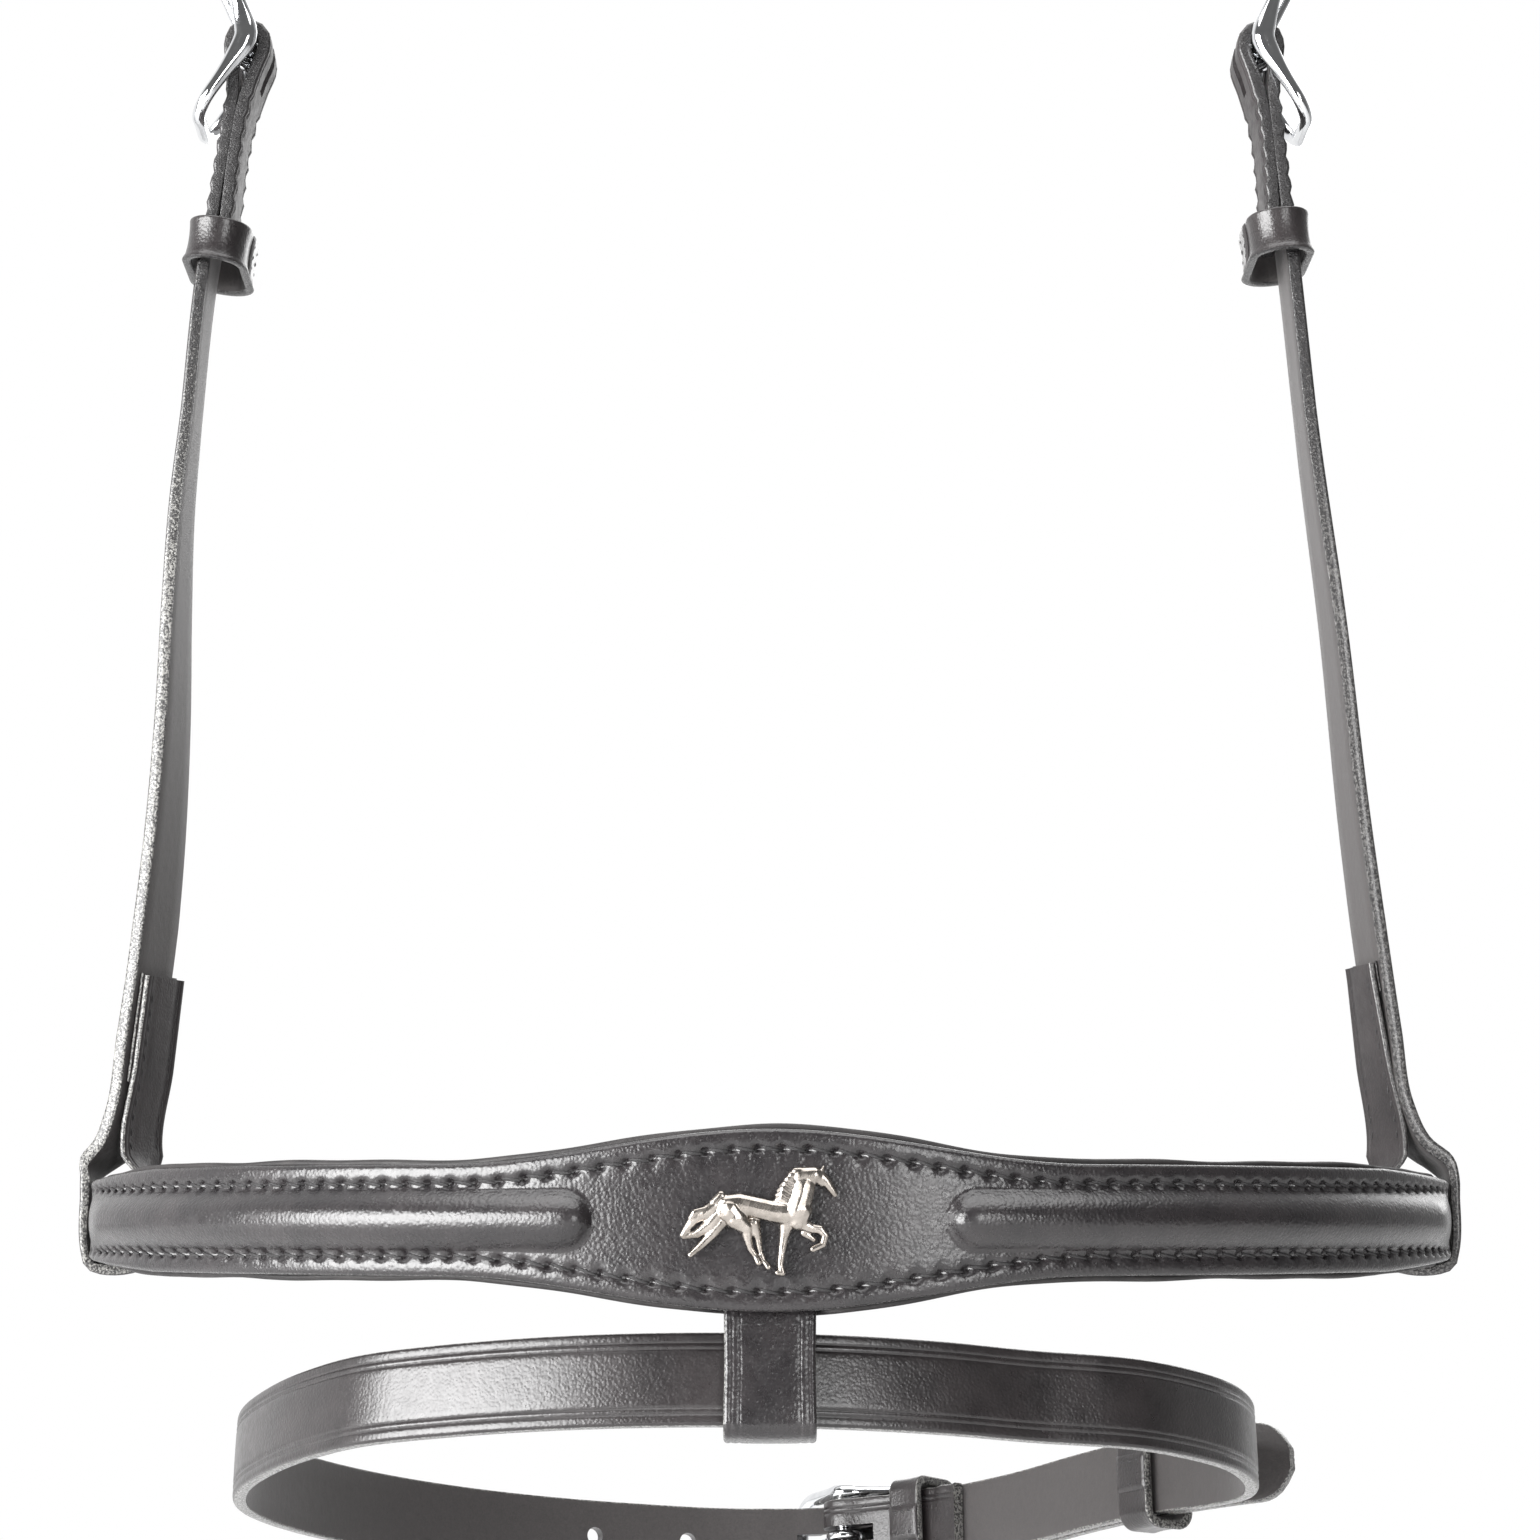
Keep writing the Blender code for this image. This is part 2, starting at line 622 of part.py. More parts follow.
def buckle_tongue(name, matrix, frame):
    """A tongue: an eye round the bar and a tapered stem that rests on the frame's far end."""
    eye = bpy.data.meshes.new(name)
    ring = bmesh.new()
    count = 12
    sides = 6
    bmesh.ops.create_grid(ring, x_segments=count, y_segments=sides, size=0.5)
    for vert in ring.verts:
        turn = 2 * math.pi * (vert.co.x + 0.5)
        round_wire = 2 * math.pi * (vert.co.y + 0.5)
        reach = EYE_RADIUS + EYE_WIRE * math.cos(round_wire)
        vert.co = (reach * math.cos(turn), EYE_WIRE * math.sin(round_wire), reach * math.sin(turn))
    bmesh.ops.remove_doubles(ring, verts=ring.verts, dist=0.00001)
    bmesh.ops.recalc_face_normals(ring, faces=ring.faces)
    ring.to_mesh(eye)
    ring.free()
    tongue = add_part(name, eye, CHROME_FINISH)
    tongue.matrix_world = matrix
    tip = tongue_tip(frame)
    start = tip.normalized() * EYE_RADIUS
    run = Vector((tip.y - start.y, 0, tip.x - start.x))
    stem = add_cutter(
        name + " stem", cylinder_mesh("stem", TONGUE_RADIUS, run.length, 8, TONGUE_RADIUS * 0.75)
    )
    middle = Vector(((tip.y + start.y) / 2, 0, (tip.x + start.x) / 2))
    stem.matrix_world = matrix @ along(run, middle)
    combine(tongue, stem, "UNION")
    return tongue


def cut_fold_slot(strap, matrix):
    """The slot in a strap's fold that the tongue's eye works in."""
    size = (12 * MM, 2 * (EYE_WIRE + 0.6 * MM), 17 * MM)
    slot = add_cutter(strap.name + " slot", box_mesh("slot", size))
    slot.matrix_world = matrix @ Matrix.Translation((0, 0, 1.5 * MM))
    combine(strap, slot, "DIFFERENCE")


def cut_round_hole(strap, label, matrix, radius=HOLE_RADIUS, length=9 * MM):
    """A punched hole along the matrix's X axis."""
    hole = add_cutter(f"{strap.name} {label}", cylinder_mesh("hole", radius, length, 8))
    hole.matrix_world = matrix @ Matrix.Rotation(math.pi / 2, 4, "Y")
    combine(strap, hole, "DIFFERENCE")


def cut_tongue_hole(strap, matrix, frame):
    """The hole that the tongue goes through, along the tongue."""
    tip = tongue_tip(frame)
    direction = Vector((tip.y, 0, tip.x))
    hole = add_cutter(strap.name + " tongue hole", cylinder_mesh("hole", 1.65 * MM, 9 * MM, 10))
    hole.matrix_world = matrix @ along(direction, direction * 0.56)
    combine(strap, hole, "DIFFERENCE")


def keeper(name, matrix, inner, outer, height=KEEPER_HEIGHT, slack=0.5 * MM, corner=1.5 * MM):
    """A leather band round the straps, from inner to outer along the matrix's X, with a hairline seam."""
    low = inner - KEEPER_WALL / 2
    high = outer + KEEPER_WALL / 2
    half = STRAP_WIDTH / 2 + slack + KEEPER_WALL / 2
    middle = (low + high) / 2
    depth = (high - low) / 2
    outline = [(low, 0.2 * MM)]
    for sign_n, sign_w, start in ((-1, 1, 180), (1, 1, 90), (1, -1, 0), (-1, -1, 270)):
        for step in range(4):
            a = math.radians(start - 30 * step)
            n = middle + sign_n * (depth - corner) + corner * math.cos(a)
            w = sign_w * (half - corner) + corner * math.sin(a)
            outline.append((n, w))
    outline.append((low, -0.2 * MM))
    up = (matrix.to_3x3() @ Vector((0, 0, 1))).normalized()
    stations = [(matrix @ Vector((n, w, 0)), up, height / 2) for n, w in outline]
    return strip(name, stations, KEEPER_WALL, LEATHER_FINISH)


class Cheek:
    """One cheek strap's place: its loop round the band's end, its straight upper stretch and its bar."""

    def __init__(self, side_name):
        self.name = side_name
        self.side = -1 if side_name == "left" else 1
        centre = self.side * (LOOP_FRONT + LOOP_LENGTH / 2)
        self.loop, _, self.heading = ring_place(centre)
        self.out = ring_outward(centre)
        self.tangent = Vector((self.side * math.cos(self.heading), math.sin(self.heading), 0))
        lean = CHEEK_LEAN[side_name]
        self.bar = self.at(self.out_of(CHEEK_BAR_OUT[side_name]), CHEEK_BAR_HEIGHT)
        self.up = (Vector((0, 0, 1)) * math.cos(lean) - self.out * math.sin(lean)).normalized()
        outward = self.across(CHEEK_TWIST[side_name]).cross(self.up)
        if outward.dot(self.out) < 0:
            outward = -outward
        self.outward = outward.normalized()

    def out_of(self, sideways):
        """The outward distance from the loop's middle at a place this far from the object's middle."""
        return (sideways - abs(self.loop.x)) / abs(self.out.x)

    def at(self, outward, height):
        return self.loop + self.out * outward + Vector((0, 0, height))

    def across(self, twist):
        """Across the strap, towards the rear, turned inwards by the twist."""
        return Matrix.Rotation(self.side * twist, 3, "Z") @ self.tangent

    def twist_at(self, height, in_loop, lapped=False):
        """None in the loop, most just above it, and a little up the strap."""
        if in_loop:
            return 0.0
        most = CHEEK_LOW_TWIST[self.name]
        low = min(1, max(0, (height - 6.4 * MM) / (3.5 * MM)))
        high = min(1, max(0, (height - 48 * MM) / (85 * MM)))
        more = LAP_TWIST[self.name] * min(1, max(0, (39 * MM - height) / (29 * MM))) if lapped else 0.0
        return (most + more) * low + (CHEEK_TWIST[self.name] - most) * high

    def bar_matrix(self, down=0.0):
        return frame_matrix(self.outward, self.up, self.bar - self.up * down)

    def line(self):
        """The middle line's points from the straight stretch to the loop."""
        return [Vector((self.out_of(x * MM), z * MM)) for x, z in CHEEK_LINE[self.name]]


def loop_corner(wall, floor, radius, angles):
    """Points round one lower corner of the loop, as (outward, height)."""
    inwards = -radius if wall > 0 else radius
    centre = Vector((wall + inwards, floor + radius))
    turns = [math.radians(angle) for angle in angles]
    return [centre + Vector((math.cos(a), math.sin(a))) * radius for a in turns]


def cheek_path(cheek):
    """The strap's middle line as (outward from the loop, height), before its loop and from there on."""
    half_layers = (STRAP + GAP) / 2
    lean = CHEEK_LEAN[cheek.name]
    bar_out = cheek.out_of(CHEEK_BAR_OUT[cheek.name])

    def upper(down, outward):
        out = bar_out + down * math.sin(lean) + outward * math.cos(lean)
        return Vector((out, CHEEK_BAR_HEIGHT - down * math.cos(lean) + outward * math.sin(lean)))

    before = [upper(point.x, point.y) for point in fold_points(STRAP, CHEEK_LAP_LENGTH, half_layers)]
    before += [upper(CHEEK_STRAIGHT, half_layers)]
    before += cheek.line()
    outer_wall = PANEL_FACE + LOOP_CLEAR + STRAP / 2
    inner_wall = -LOOP_CLEAR_INSIDE[cheek.name] - LAP / 2
    floor = -HALF_END - LOOP_CLEAR_BELOW - LOOP_HALF_BELOW
    before += [Vector((outer_wall + out * MM, z * MM)) for out, z in CHEEK_FLARE[cheek.name]]
    thin_wall = PANEL_FACE + LOOP_CLEAR_OUTSIDE + LOOP_STRAP / 2
    after = [Vector((thin_wall + GAP, LOOP_WALL_FROM))]
    after += loop_corner(thin_wall, floor, LOOP_CORNERS[0], (0, -30, -60, -90))
    after += loop_corner(inner_wall, floor, LOOP_CORNERS[1], (-90, -120, -150, -180))
    foot, head = lap_ends(cheek)
    after += [Vector((inner_wall, LOOP_WALL_TO)), Vector((inner_wall, HALF_END))]
    after += [foot, foot.lerp(head, 0.5), head]
    return before, after


def lap_ends(cheek, outward=0.0):
    """The two ends of the straight layer behind the strap, from just above the band to its top."""
    top = [point for point in cheek.line() if point.y < LAPPED_TO][0]
    foot_out, foot_height = LAP_FOOT[cheek.name]
    foot = Vector((foot_out * MM + outward, foot_height * MM))
    return foot, top - Vector((STRAP / 2 + LAP / 2 + FILLER[cheek.name] + 1.7 * GAP - outward, 0))


def loop_share(travelled):
    """The share of its thickness that the strap keeps, so far on from the start of its loop."""
    for (before, share), (after, share_after) in zip(LOOP_SHARES, LOOP_SHARES[1:]):
        if travelled <= after * MM:
            along_it = max(0, travelled - before * MM) / ((after - before) * MM)
            return share + (share_after - share) * along_it
    return LOOP_SHARES[-1][1]


def cheek_strap(cheek):
    before, after = cheek_path(cheek)
    path = smooth_path(before + after, 5 * MM)
    loop_start = min(range(len(path)), key=lambda i: (path[i] - after[0]).length)
    loop_end = min(range(len(path)), key=lambda i: (path[i] - after[9]).length)
    travelled = [0.0]
    for before_it, after_it in zip(path, path[1:]):
        travelled.append(travelled[-1] + (after_it - before_it).length)
    stations = []
    shares = []
    for i, point in enumerate(path):
        twist = cheek.twist_at(point.y, loop_start <= i <= loop_end, i > loop_end)
        stations.append((cheek.at(point.x, point.y), cheek.across(twist), STRAP_WIDTH / 2))
        shares.append(loop_share(travelled[i] - travelled[loop_start]))
    strap = strip(f"cheek_strap_{cheek.name}", stations, STRAP, LEATHER_FINISH, shares)
    cut_fold_slot(strap, cheek.bar_matrix())
    return strap


def cheek_filler(cheek):
    """The thin leather between the two layers above the band."""
    thickness = FILLER[cheek.name]
    foot, head = lap_ends(cheek, LAP / 2 + GAP + thickness / 2)
    low, high = FILLER_FROM[cheek.name], head.y + 0.4 * MM
    slope = (head - foot) / (head.y - foot.y)
    line = [foot + slope * (height - foot.y) for height in (low, (low + high) / 2, high)]
    stations = []
    for point in smooth_path(line, 5 * MM):
        across = cheek.across(cheek.twist_at(point.y, False, True))
        stations.append((cheek.at(point.x, point.y), across, STRAP_WIDTH / 2 - 0.5 * MM))
    return strip(f"cheek_filler_{cheek.name}", stations, thickness, LEATHER_FINISH)


def cheek_assembly(side_name):
    cheek = Cheek(side_name)
    cheek_strap(cheek)
    cheek_filler(cheek)
    half_layers = (STRAP + GAP) / 2
    outer = half_layers + STRAP / 2 + 0.4 * MM
    place = cheek.bar_matrix(KEEPER_DROP[side_name])
    keeper(f"cheek_keeper_{side_name}", place, outer - 6.7 * MM, outer, KEEPER_HEIGHT, 2.2 * MM, 3.9 * MM)
    buckle_frame(f"cheek_buckle_{side_name}", cheek.bar_matrix(), CHEEK_FRAME)
    buckle_tongue(f"cheek_tongue_{side_name}", cheek.bar_matrix(), CHEEK_FRAME)


def flash_axes():
    """The flash strap's own directions: rearwards in its plane, and down across its width."""
    rearward = Vector((0, math.cos(FLASH_DROOP), -math.sin(FLASH_DROOP)))
    downward = Vector((0, -math.sin(FLASH_DROOP), -math.cos(FLASH_DROOP)))
    return rearward, downward


def flash_origin():
    """Where the strap's middle line passes the tab, in the plane of its middle."""
    rearward, downward = flash_axes()
    front = TAB / 2 + 0.8 * MM + STRAP / 2
    return TAB_PIVOT + rearward * front + downward * (FLASH_BELOW_PIVOT + STRAP_WIDTH / 2)


def flash_in_plane(sideways, rear, lift):
    rearward, downward = flash_axes()
    return flash_origin() + Vector((sideways, 0, 0)) + rearward * rear - downward * lift


def flash_front(turn):
    """A point of the round front, as (sideways, rearwards)."""
    sag = FLASH_ROUND - math.sqrt(FLASH_ROUND**2 - FLASH_SIDEWAYS**2)
    return (FLASH_SIDEWAYS + FLASH_ROUND * math.sin(turn), FLASH_ROUND * (1 - math.cos(turn)) - sag)


def flash_line():
    """The main loop's middle line from the bar by the right, the front and the left to the bar again."""
    turns = [math.radians(angle) for angle in (30, 22, 14, 6, -2, -10, -18, -26, -34)]
    points = [tuple(value * MM for value in point) for point in [FLASH_BAR, *reversed(FLASH_RIGHT)]]
    points += [(*flash_front(turn), 0) for turn in turns]
    points += [tuple(value * MM for value in point) for point in [*reversed(FLASH_LEFT), FLASH_BAR]]
    points = [flash_in_plane(*point) for point in points]
    looped = smooth_path(points[-3:-1] + points + points[1:3], 1 * MM)
    first = min(range(len(looped) // 3), key=lambda i: (looped[i] - points[0]).length)
    last = min(range(len(looped) // 3 * 2, len(looped)), key=lambda i: (looped[i] - points[0]).length)
    line = looped[first : last + 1]
    travelled = [0.0]
    for a, b in zip(line, line[1:]):
        travelled.append(travelled[-1] + (b - a).length)
    return line, travelled


def flash_place(distance, outward):
    """A point on the flash strap, a distance from its bar towards the right, the front and round.

    Outward counts from the middle between its two layers at the buckle; the line is the outer one's."""
    line, travelled = FLASH_LINE
    along_it = distance % travelled[-1]
    i = 1
    while travelled[i] < along_it and i < len(line) - 1:
        i += 1
    share = (along_it - travelled[i - 1]) / (travelled[i] - travelled[i - 1])
    before, after = line[max(0, i - 3)], line[min(len(line) - 1, i + 2)]
    if i < 3:
        before = line[i - 4] - line[-1] + line[0]
    onward = (after - before).normalized()
    _, downward = flash_axes()
    out = onward.cross(downward).normalized()
    return line[i - 1].lerp(line[i], share) + out * (outward - (STRAP + GAP) / 2), out, onward


def flash_matrix(distance):
    place, out, onward = flash_place(distance, 0)
    return frame_matrix(out, -onward, place)


def flash_strap():
    half_layers = (STRAP + GAP) / 2
    around = FLASH_LINE[1][-1]
    resting = half_layers + STRAP + GAP
    points = fold_points(STRAP, LAP_LENGTH, half_layers)
    points += [Vector((around + point.x, point.y)) for point in over_bar(STRAP, half_layers)]
    points += [Vector((around + FLASH_KEEPER_AT + step * MM, resting)) for step in (-12, 0, 5)]
    path = [flash_place(point.x, point.y)[0] for point in smooth_path(points, 5 * MM)]
    tip = [flash_in_plane(*(value * MM for value in point)) for point in FLASH_TIP]
    path = path[:-1] + smooth_path([path[-2], path[-1], *tip], 5 * MM)[1:]
    onward = (path[-1] - path[-2]).normalized()
    path[-1:] = [path[-1] - onward * 2.4 * MM, path[-1]]
    _, downward = flash_axes()
    stations = []
    for place in path:
        stations.append((place, downward, rounded_end((place - path[-1]).length, STRAP_WIDTH / 2)))
    strap = strip("flash_strap", stations, STRAP, LEATHER_FINISH)
    bar = flash_matrix(0)
    cut_fold_slot(strap, bar)
    cut_tongue_hole(strap, bar, REAR_FRAME)
    for i, distance in enumerate((-48 * MM, -30 * MM)):
        place, out, onward = flash_place(around + distance, half_layers)
        cut_round_hole(strap, f"hole {i}", frame_matrix(out, onward, place))
    return strap


def flash_loop():
    """The tab: sewn in under the panel, it goes down, round the flash strap and up behind it."""
    rearward, downward = flash_axes()
    back = TAB + TAB_INSIDE
    bottom = FLASH_BELOW_PIVOT + STRAP_WIDTH + 0.4 * MM + TAB / 2
    top = FLASH_BELOW_PIVOT - 0.4 * MM - TAB / 2
    corner = 1.6 * MM
    points = [(0, -TAB_TOP), (0, 3 * MM), (0, bottom - corner)]
    front, rear, low, high = corner, back - corner, bottom - corner, top + corner
    half_turn, turn = math.radians(45), math.radians(90)
    points += [(front - corner * math.cos(a), low + corner * math.sin(a)) for a in (half_turn, turn)]
    points += [(rear + corner * math.sin(a), low + corner * math.cos(a)) for a in (0, half_turn, turn)]
    points += [(back, high)]
    points += [(rear + corner * math.cos(a), high - corner * math.sin(a)) for a in (half_turn, turn)]
    points += [(TAB / 2 + GAP, top)]
    stations = [
        (TAB_PIVOT + rearward * n + downward * d, Vector((1, 0, 0)), STRAP_WIDTH / 2) for n, d in points
    ]
    return strip("flash_loop", stations, TAB, LEATHER_FINISH)


def flash_assembly():
    flash_loop()
    flash_strap()
    half_layers = (STRAP + GAP) / 2
    resting = half_layers + STRAP + GAP
    outer = resting + STRAP / 2 + 0.4 * MM
    bar = flash_matrix(0)
    buckle_frame("flash_buckle", bar, REAR_FRAME)
    buckle_tongue("flash_tongue", bar, REAR_FRAME)
    fixed = flash_matrix(REAR_FRAME[0] + WIRE_RADIUS + 3.7 * MM)
    keeper("flash_keeper_fixed", fixed, -half_layers - STRAP / 2 - 0.45 * MM, outer, 6.5 * MM)
    inner = half_layers - STRAP / 2 - 0.5 * MM
    keeper("flash_keeper_running", flash_matrix(FLASH_KEEPER_AT), inner, outer + 0.4 * MM, 7.5 * MM)


def chin_place(distance, outward):
    """A point on the chin straps: a distance from the bar towards the right cheek loop."""
    half_layers = (CHIN_STRAP + GAP) / 2
    at = CHIN_BAR - distance
    place = ring_place(at, MIDDLE_AT - half_layers + outward)[0]
    return place, ring_outward(at)


def chin_matrix(distance, outward=0.0):
    place, out = chin_place(distance, outward)
    onward = Vector((-out.y, out.x, 0))
    if (chin_place(distance - 1 * MM, outward)[0] - place).dot(onward) < 0:
        onward = -onward
    return frame_matrix(out, onward, place)


def upright_stations(path):
    return [(chin_place(p.x, p.y)[0], Vector((0, 0, 1)), STRAP_WIDTH / 2) for p in path]


def chin_strap_right():
    """The short one: sewn into the band's right end and folded round the buckle's bar."""
    half_layers = (CHIN_STRAP + GAP) / 2
    points = fold_points(CHIN_STRAP, LAP_LENGTH, half_layers)
    sewn = (BEHIND_LOOP, LOOP_FRONT + LOOP_LENGTH, LOOP_FRONT, CHIN_SEWN)
    points += [Vector((CHIN_BAR - distance, half_layers)) for distance in sewn]
    places = upright_stations(smooth_path(points, 4 * MM))
    strap = strip("chin_strap_right", places, CHIN_STRAP, LEATHER_FINISH)
    cut_fold_slot(strap, chin_matrix(0))
    return strap


def chin_strap_left():
    """The long one: sewn into the band's left end, it goes round behind and through the buckle."""
    half_layers = (CHIN_STRAP + GAP) / 2
    resting = half_layers + CHIN_STRAP + GAP
    start = CHIN_BAR - (2 * RING_HALF - CHIN_SEWN)
    left_loop = start + LOOP_FRONT - CHIN_SEWN
    end = CHIN_BAR - ring_distance(CHIN_TIP_TURN)
    points = [Vector((start, half_layers)), Vector((left_loop, half_layers))]
    points += [Vector((left_loop + LOOP_LENGTH, half_layers))]
    points += [Vector((left_loop + BEHIND_LOOP - LOOP_FRONT, half_layers))]
    points += over_bar(CHIN_STRAP, half_layers)
    points += [Vector((end - 5 * MM, resting)), Vector((end - 2.5 * MM, resting)), Vector((end, resting))]
    stations = []
    for point in smooth_path(points, 4 * MM):
        half = rounded_end(end - point.x, STRAP_WIDTH / 2)
        stations.append((chin_place(point.x, point.y)[0], Vector((0, 0, 1)), half))
    strap = strip("chin_strap_left", stations, CHIN_STRAP, LEATHER_FINISH)
    cut_tongue_hole(strap, chin_matrix(0), REAR_FRAME)
    for i, distance in enumerate((-84 * MM, -66 * MM, -48 * MM, -30 * MM)):
        cut_round_hole(strap, f"hole {i}", chin_matrix(distance, half_layers))
    return strap


def chin_assembly():
    chin_strap_right()
    chin_strap_left()
    half_layers = (CHIN_STRAP + GAP) / 2
    resting = half_layers + CHIN_STRAP + GAP
    outer = resting + CHIN_STRAP / 2 + 0.35 * MM
    buckle_frame("chin_buckle", chin_matrix(0), REAR_FRAME)
    buckle_tongue("chin_tongue", chin_matrix(0), REAR_FRAME)
    fixed = chin_matrix(REAR_FRAME[0] + WIRE_RADIUS + 4.6 * MM)
    keeper("chin_keeper_fixed", fixed, -half_layers - CHIN_STRAP / 2 - 0.35 * MM, outer, 7 * MM)
    running = chin_matrix(CHIN_BAR - ring_distance(CHIN_KEEPER_TURN))
    keeper("chin_keeper_running", running, half_layers - CHIN_STRAP / 2 - 0.4 * MM, outer, 8 * MM)


RING_ARCS = ring_arcs()
RING_HALF = sum(length for length, _ in RING_ARCS)
LOOP_FRONT = FRONT_FLAT + FRONT_RADIUS * FRONT_TURN + SIDE_RADIUS * SIDE_TURN
BAND_END = LOOP_FRONT + LOOP_LENGTH + 1.5 * MM
PADDING_END = LOOP_FRONT - 1.5 * MM
CHIN_SEWN = LOOP_FRONT - 0.5 * MM
BEHIND_LOOP = LOOP_FRONT + LOOP_LENGTH + SIDE_RADIUS * SIDE_TURN
CHIN_BAR = ring_distance(CHIN_BAR_TURN)
FLASH_LINE = flash_line()

clear_scene()
PARTS = collection("bridle noseband")
CUTTERS = collection("noseband cutters")
LEATHER_FINISH = material("dark bridle leather", LEATHER, 0.42, 0)
LINING_FINISH = material("soft lining leather", LINING_LEATHER, 0.6, 0)
FOAM_FINISH = material("foam padding", FOAM, 0.9, 0)
CORD_FINISH = material("roll cord", CORD, 0.9, 0)
CHROME_FINISH = material("bright chrome", CHROME, 0.12, 1)
NICKEL_FINISH = material("polished nickel", NICKEL, 0.2, 1)

nose_panel()
nose_lining()
nose_padding()
roll_core("roll_core_left", -1)
roll_core("roll_core_right", 1)
horse_ornament()
for name_of_side in ("left", "right"):
    cheek_assembly(name_of_side)
flash_assembly()
chin_assembly()
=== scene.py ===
"""The looks of a bridle noseband: stitched bridle leather, chrome buckles and a nickel horse.

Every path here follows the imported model's own, in metres, with finer steps: the padded nose band's ring, the
two cheek straps, the drooping flash strap and the chin straps behind. Each leather piece is a closed swept
skin with rounded edges, creases and sewn rows.
"""

import math
from collections import namedtuple

import bmesh
import bpy
from mathutils import Matrix, Vector


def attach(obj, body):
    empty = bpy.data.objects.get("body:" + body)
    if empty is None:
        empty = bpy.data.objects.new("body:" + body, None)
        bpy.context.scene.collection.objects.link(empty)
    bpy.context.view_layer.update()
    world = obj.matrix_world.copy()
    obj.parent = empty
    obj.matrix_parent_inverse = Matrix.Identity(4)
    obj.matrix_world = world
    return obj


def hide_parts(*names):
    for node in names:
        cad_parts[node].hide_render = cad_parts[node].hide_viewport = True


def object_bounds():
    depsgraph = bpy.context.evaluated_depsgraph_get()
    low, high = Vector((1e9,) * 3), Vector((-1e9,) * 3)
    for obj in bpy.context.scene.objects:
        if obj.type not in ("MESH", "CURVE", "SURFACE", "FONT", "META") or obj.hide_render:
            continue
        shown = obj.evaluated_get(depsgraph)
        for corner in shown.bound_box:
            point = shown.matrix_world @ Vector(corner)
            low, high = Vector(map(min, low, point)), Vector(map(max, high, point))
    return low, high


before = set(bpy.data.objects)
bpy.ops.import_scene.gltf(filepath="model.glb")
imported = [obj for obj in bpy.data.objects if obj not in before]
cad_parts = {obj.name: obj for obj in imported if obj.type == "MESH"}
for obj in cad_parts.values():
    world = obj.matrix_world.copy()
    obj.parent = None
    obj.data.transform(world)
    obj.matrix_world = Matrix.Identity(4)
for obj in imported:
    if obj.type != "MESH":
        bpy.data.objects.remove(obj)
CAD_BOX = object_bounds()

MM = 0.001
GAP = 0.3 * MM
STRAP_STEP = 1.2 * MM

# The ring that the nose band and the chin straps follow, along the inner face of the lining.
FRONT_FLAT = 4 * MM
FRONT_RADIUS = 105 * MM
FRONT_TURN = math.radians(66)
SIDE_RADIUS = 20 * MM
SIDE_TURN = math.radians(18)
STRAP_WIDTH = 12.5 * MM
LOOP_LENGTH = STRAP_WIDTH + 1 * MM

# Layers of the nose band, outwards from the nose.
LINING = 1.0 * MM
MIDDLE = 2.4 * MM
PANEL = 2.0 * MM
MIDDLE_AT = LINING + GAP + MIDDLE / 2
PANEL_BACK = LINING + MIDDLE + 2 * GAP
PANEL_FACE = PANEL_BACK + PANEL

# Half heights of the nose band at the front, beside the swell and in the cheek loops.
HALF_FRONT = 12.9 * MM
HALF_BESIDE = 8.3 * MM
HALF_END = 6.8 * MM
SWELL_REACH = 43 * MM
TAPER_FROM = 100 * MM
PANEL_INSET = 0.7 * MM
PADDING_INSET = 1.3 * MM

# The two raised rolls, and the sewn rows beside them.
ROLL_HALF = 3.9 * MM
ROLL_FOOT_HALF = 1.08 * ROLL_HALF
ROLL_RISE = 2.8 * MM
ROLL_FROM = 23.3 * MM
ROLL_TO = 128.5 * MM
ROLL_END = 4.6 * MM
ROLL_FADE_FROM = 113 * MM
ROLL_FLATTER = 0.8
SEAM_INSET = 3.35 * MM
SEAM_LEAST = 4.75 * MM
GROOVE_HALF = 0.55 * MM
GROOVE_DEEP = 0.10 * MM
PIT_HALF = 0.6 * MM
PIT_DEEP = 0.85 * MM
PANEL_ROUNDING = 0.75 * MM
STITCH = 3.4 * MM

# Straps, their folds round a buckle bar, and the buckles.
STRAP = 2.2 * MM
STRAP_EDGE = 0.5 * MM
STRAP_CROWN = 0.08 * MM
LAP = 1.0 * MM
CHIN_STRAP = MIDDLE
HALF_LAYERS = (STRAP + GAP) / 2
RESTING = HALF_LAYERS + STRAP + GAP
CHIN_HALF_LAYERS = (CHIN_STRAP + GAP) / 2
CHIN_RESTING = CHIN_HALF_LAYERS + CHIN_STRAP + GAP
BAR_RADIUS = 1.3 * MM
FOLD_CLEARANCE = 0.45 * MM
LAP_LENGTH = 27 * MM
WIRE_RADIUS = 1.15 * MM
FRAME_HALF_WIDTH = 7.9 * MM
CHEEK_FRAME = (14.2 * MM, 6.2 * MM)
REAR_FRAME = (11.6 * MM, 7.2 * MM)
TONGUE_RADIUS = 1.0 * MM
EYE_RADIUS = 2.45 * MM
EYE_WIRE = 0.85 * MM
HOLE_RADIUS = 1.5 * MM
KEEPER_WALL = 1.6 * MM
KEEPER_EDGE = 0.42 * MM
THIN_THREAD = 0.24 * MM

# Each keeper's height, its room beside the strap, its corners' radius and its rims' flare, in millimetres.
CHEEK_KEEPER = (7.3, 2.2, 4.0, 0.35)
FLASH_FIXED_KEEPER = (6.5, 0.5, 1.7, 0.12)
FLASH_RUNNING_KEEPER = (7.5, 0.5, 2.0, 0.2)
CHIN_FIXED_KEEPER = (7, 0.5, 1.7, 0.12)
CHIN_RUNNING_KEEPER = (8, 0.5, 1.8, 0.2)

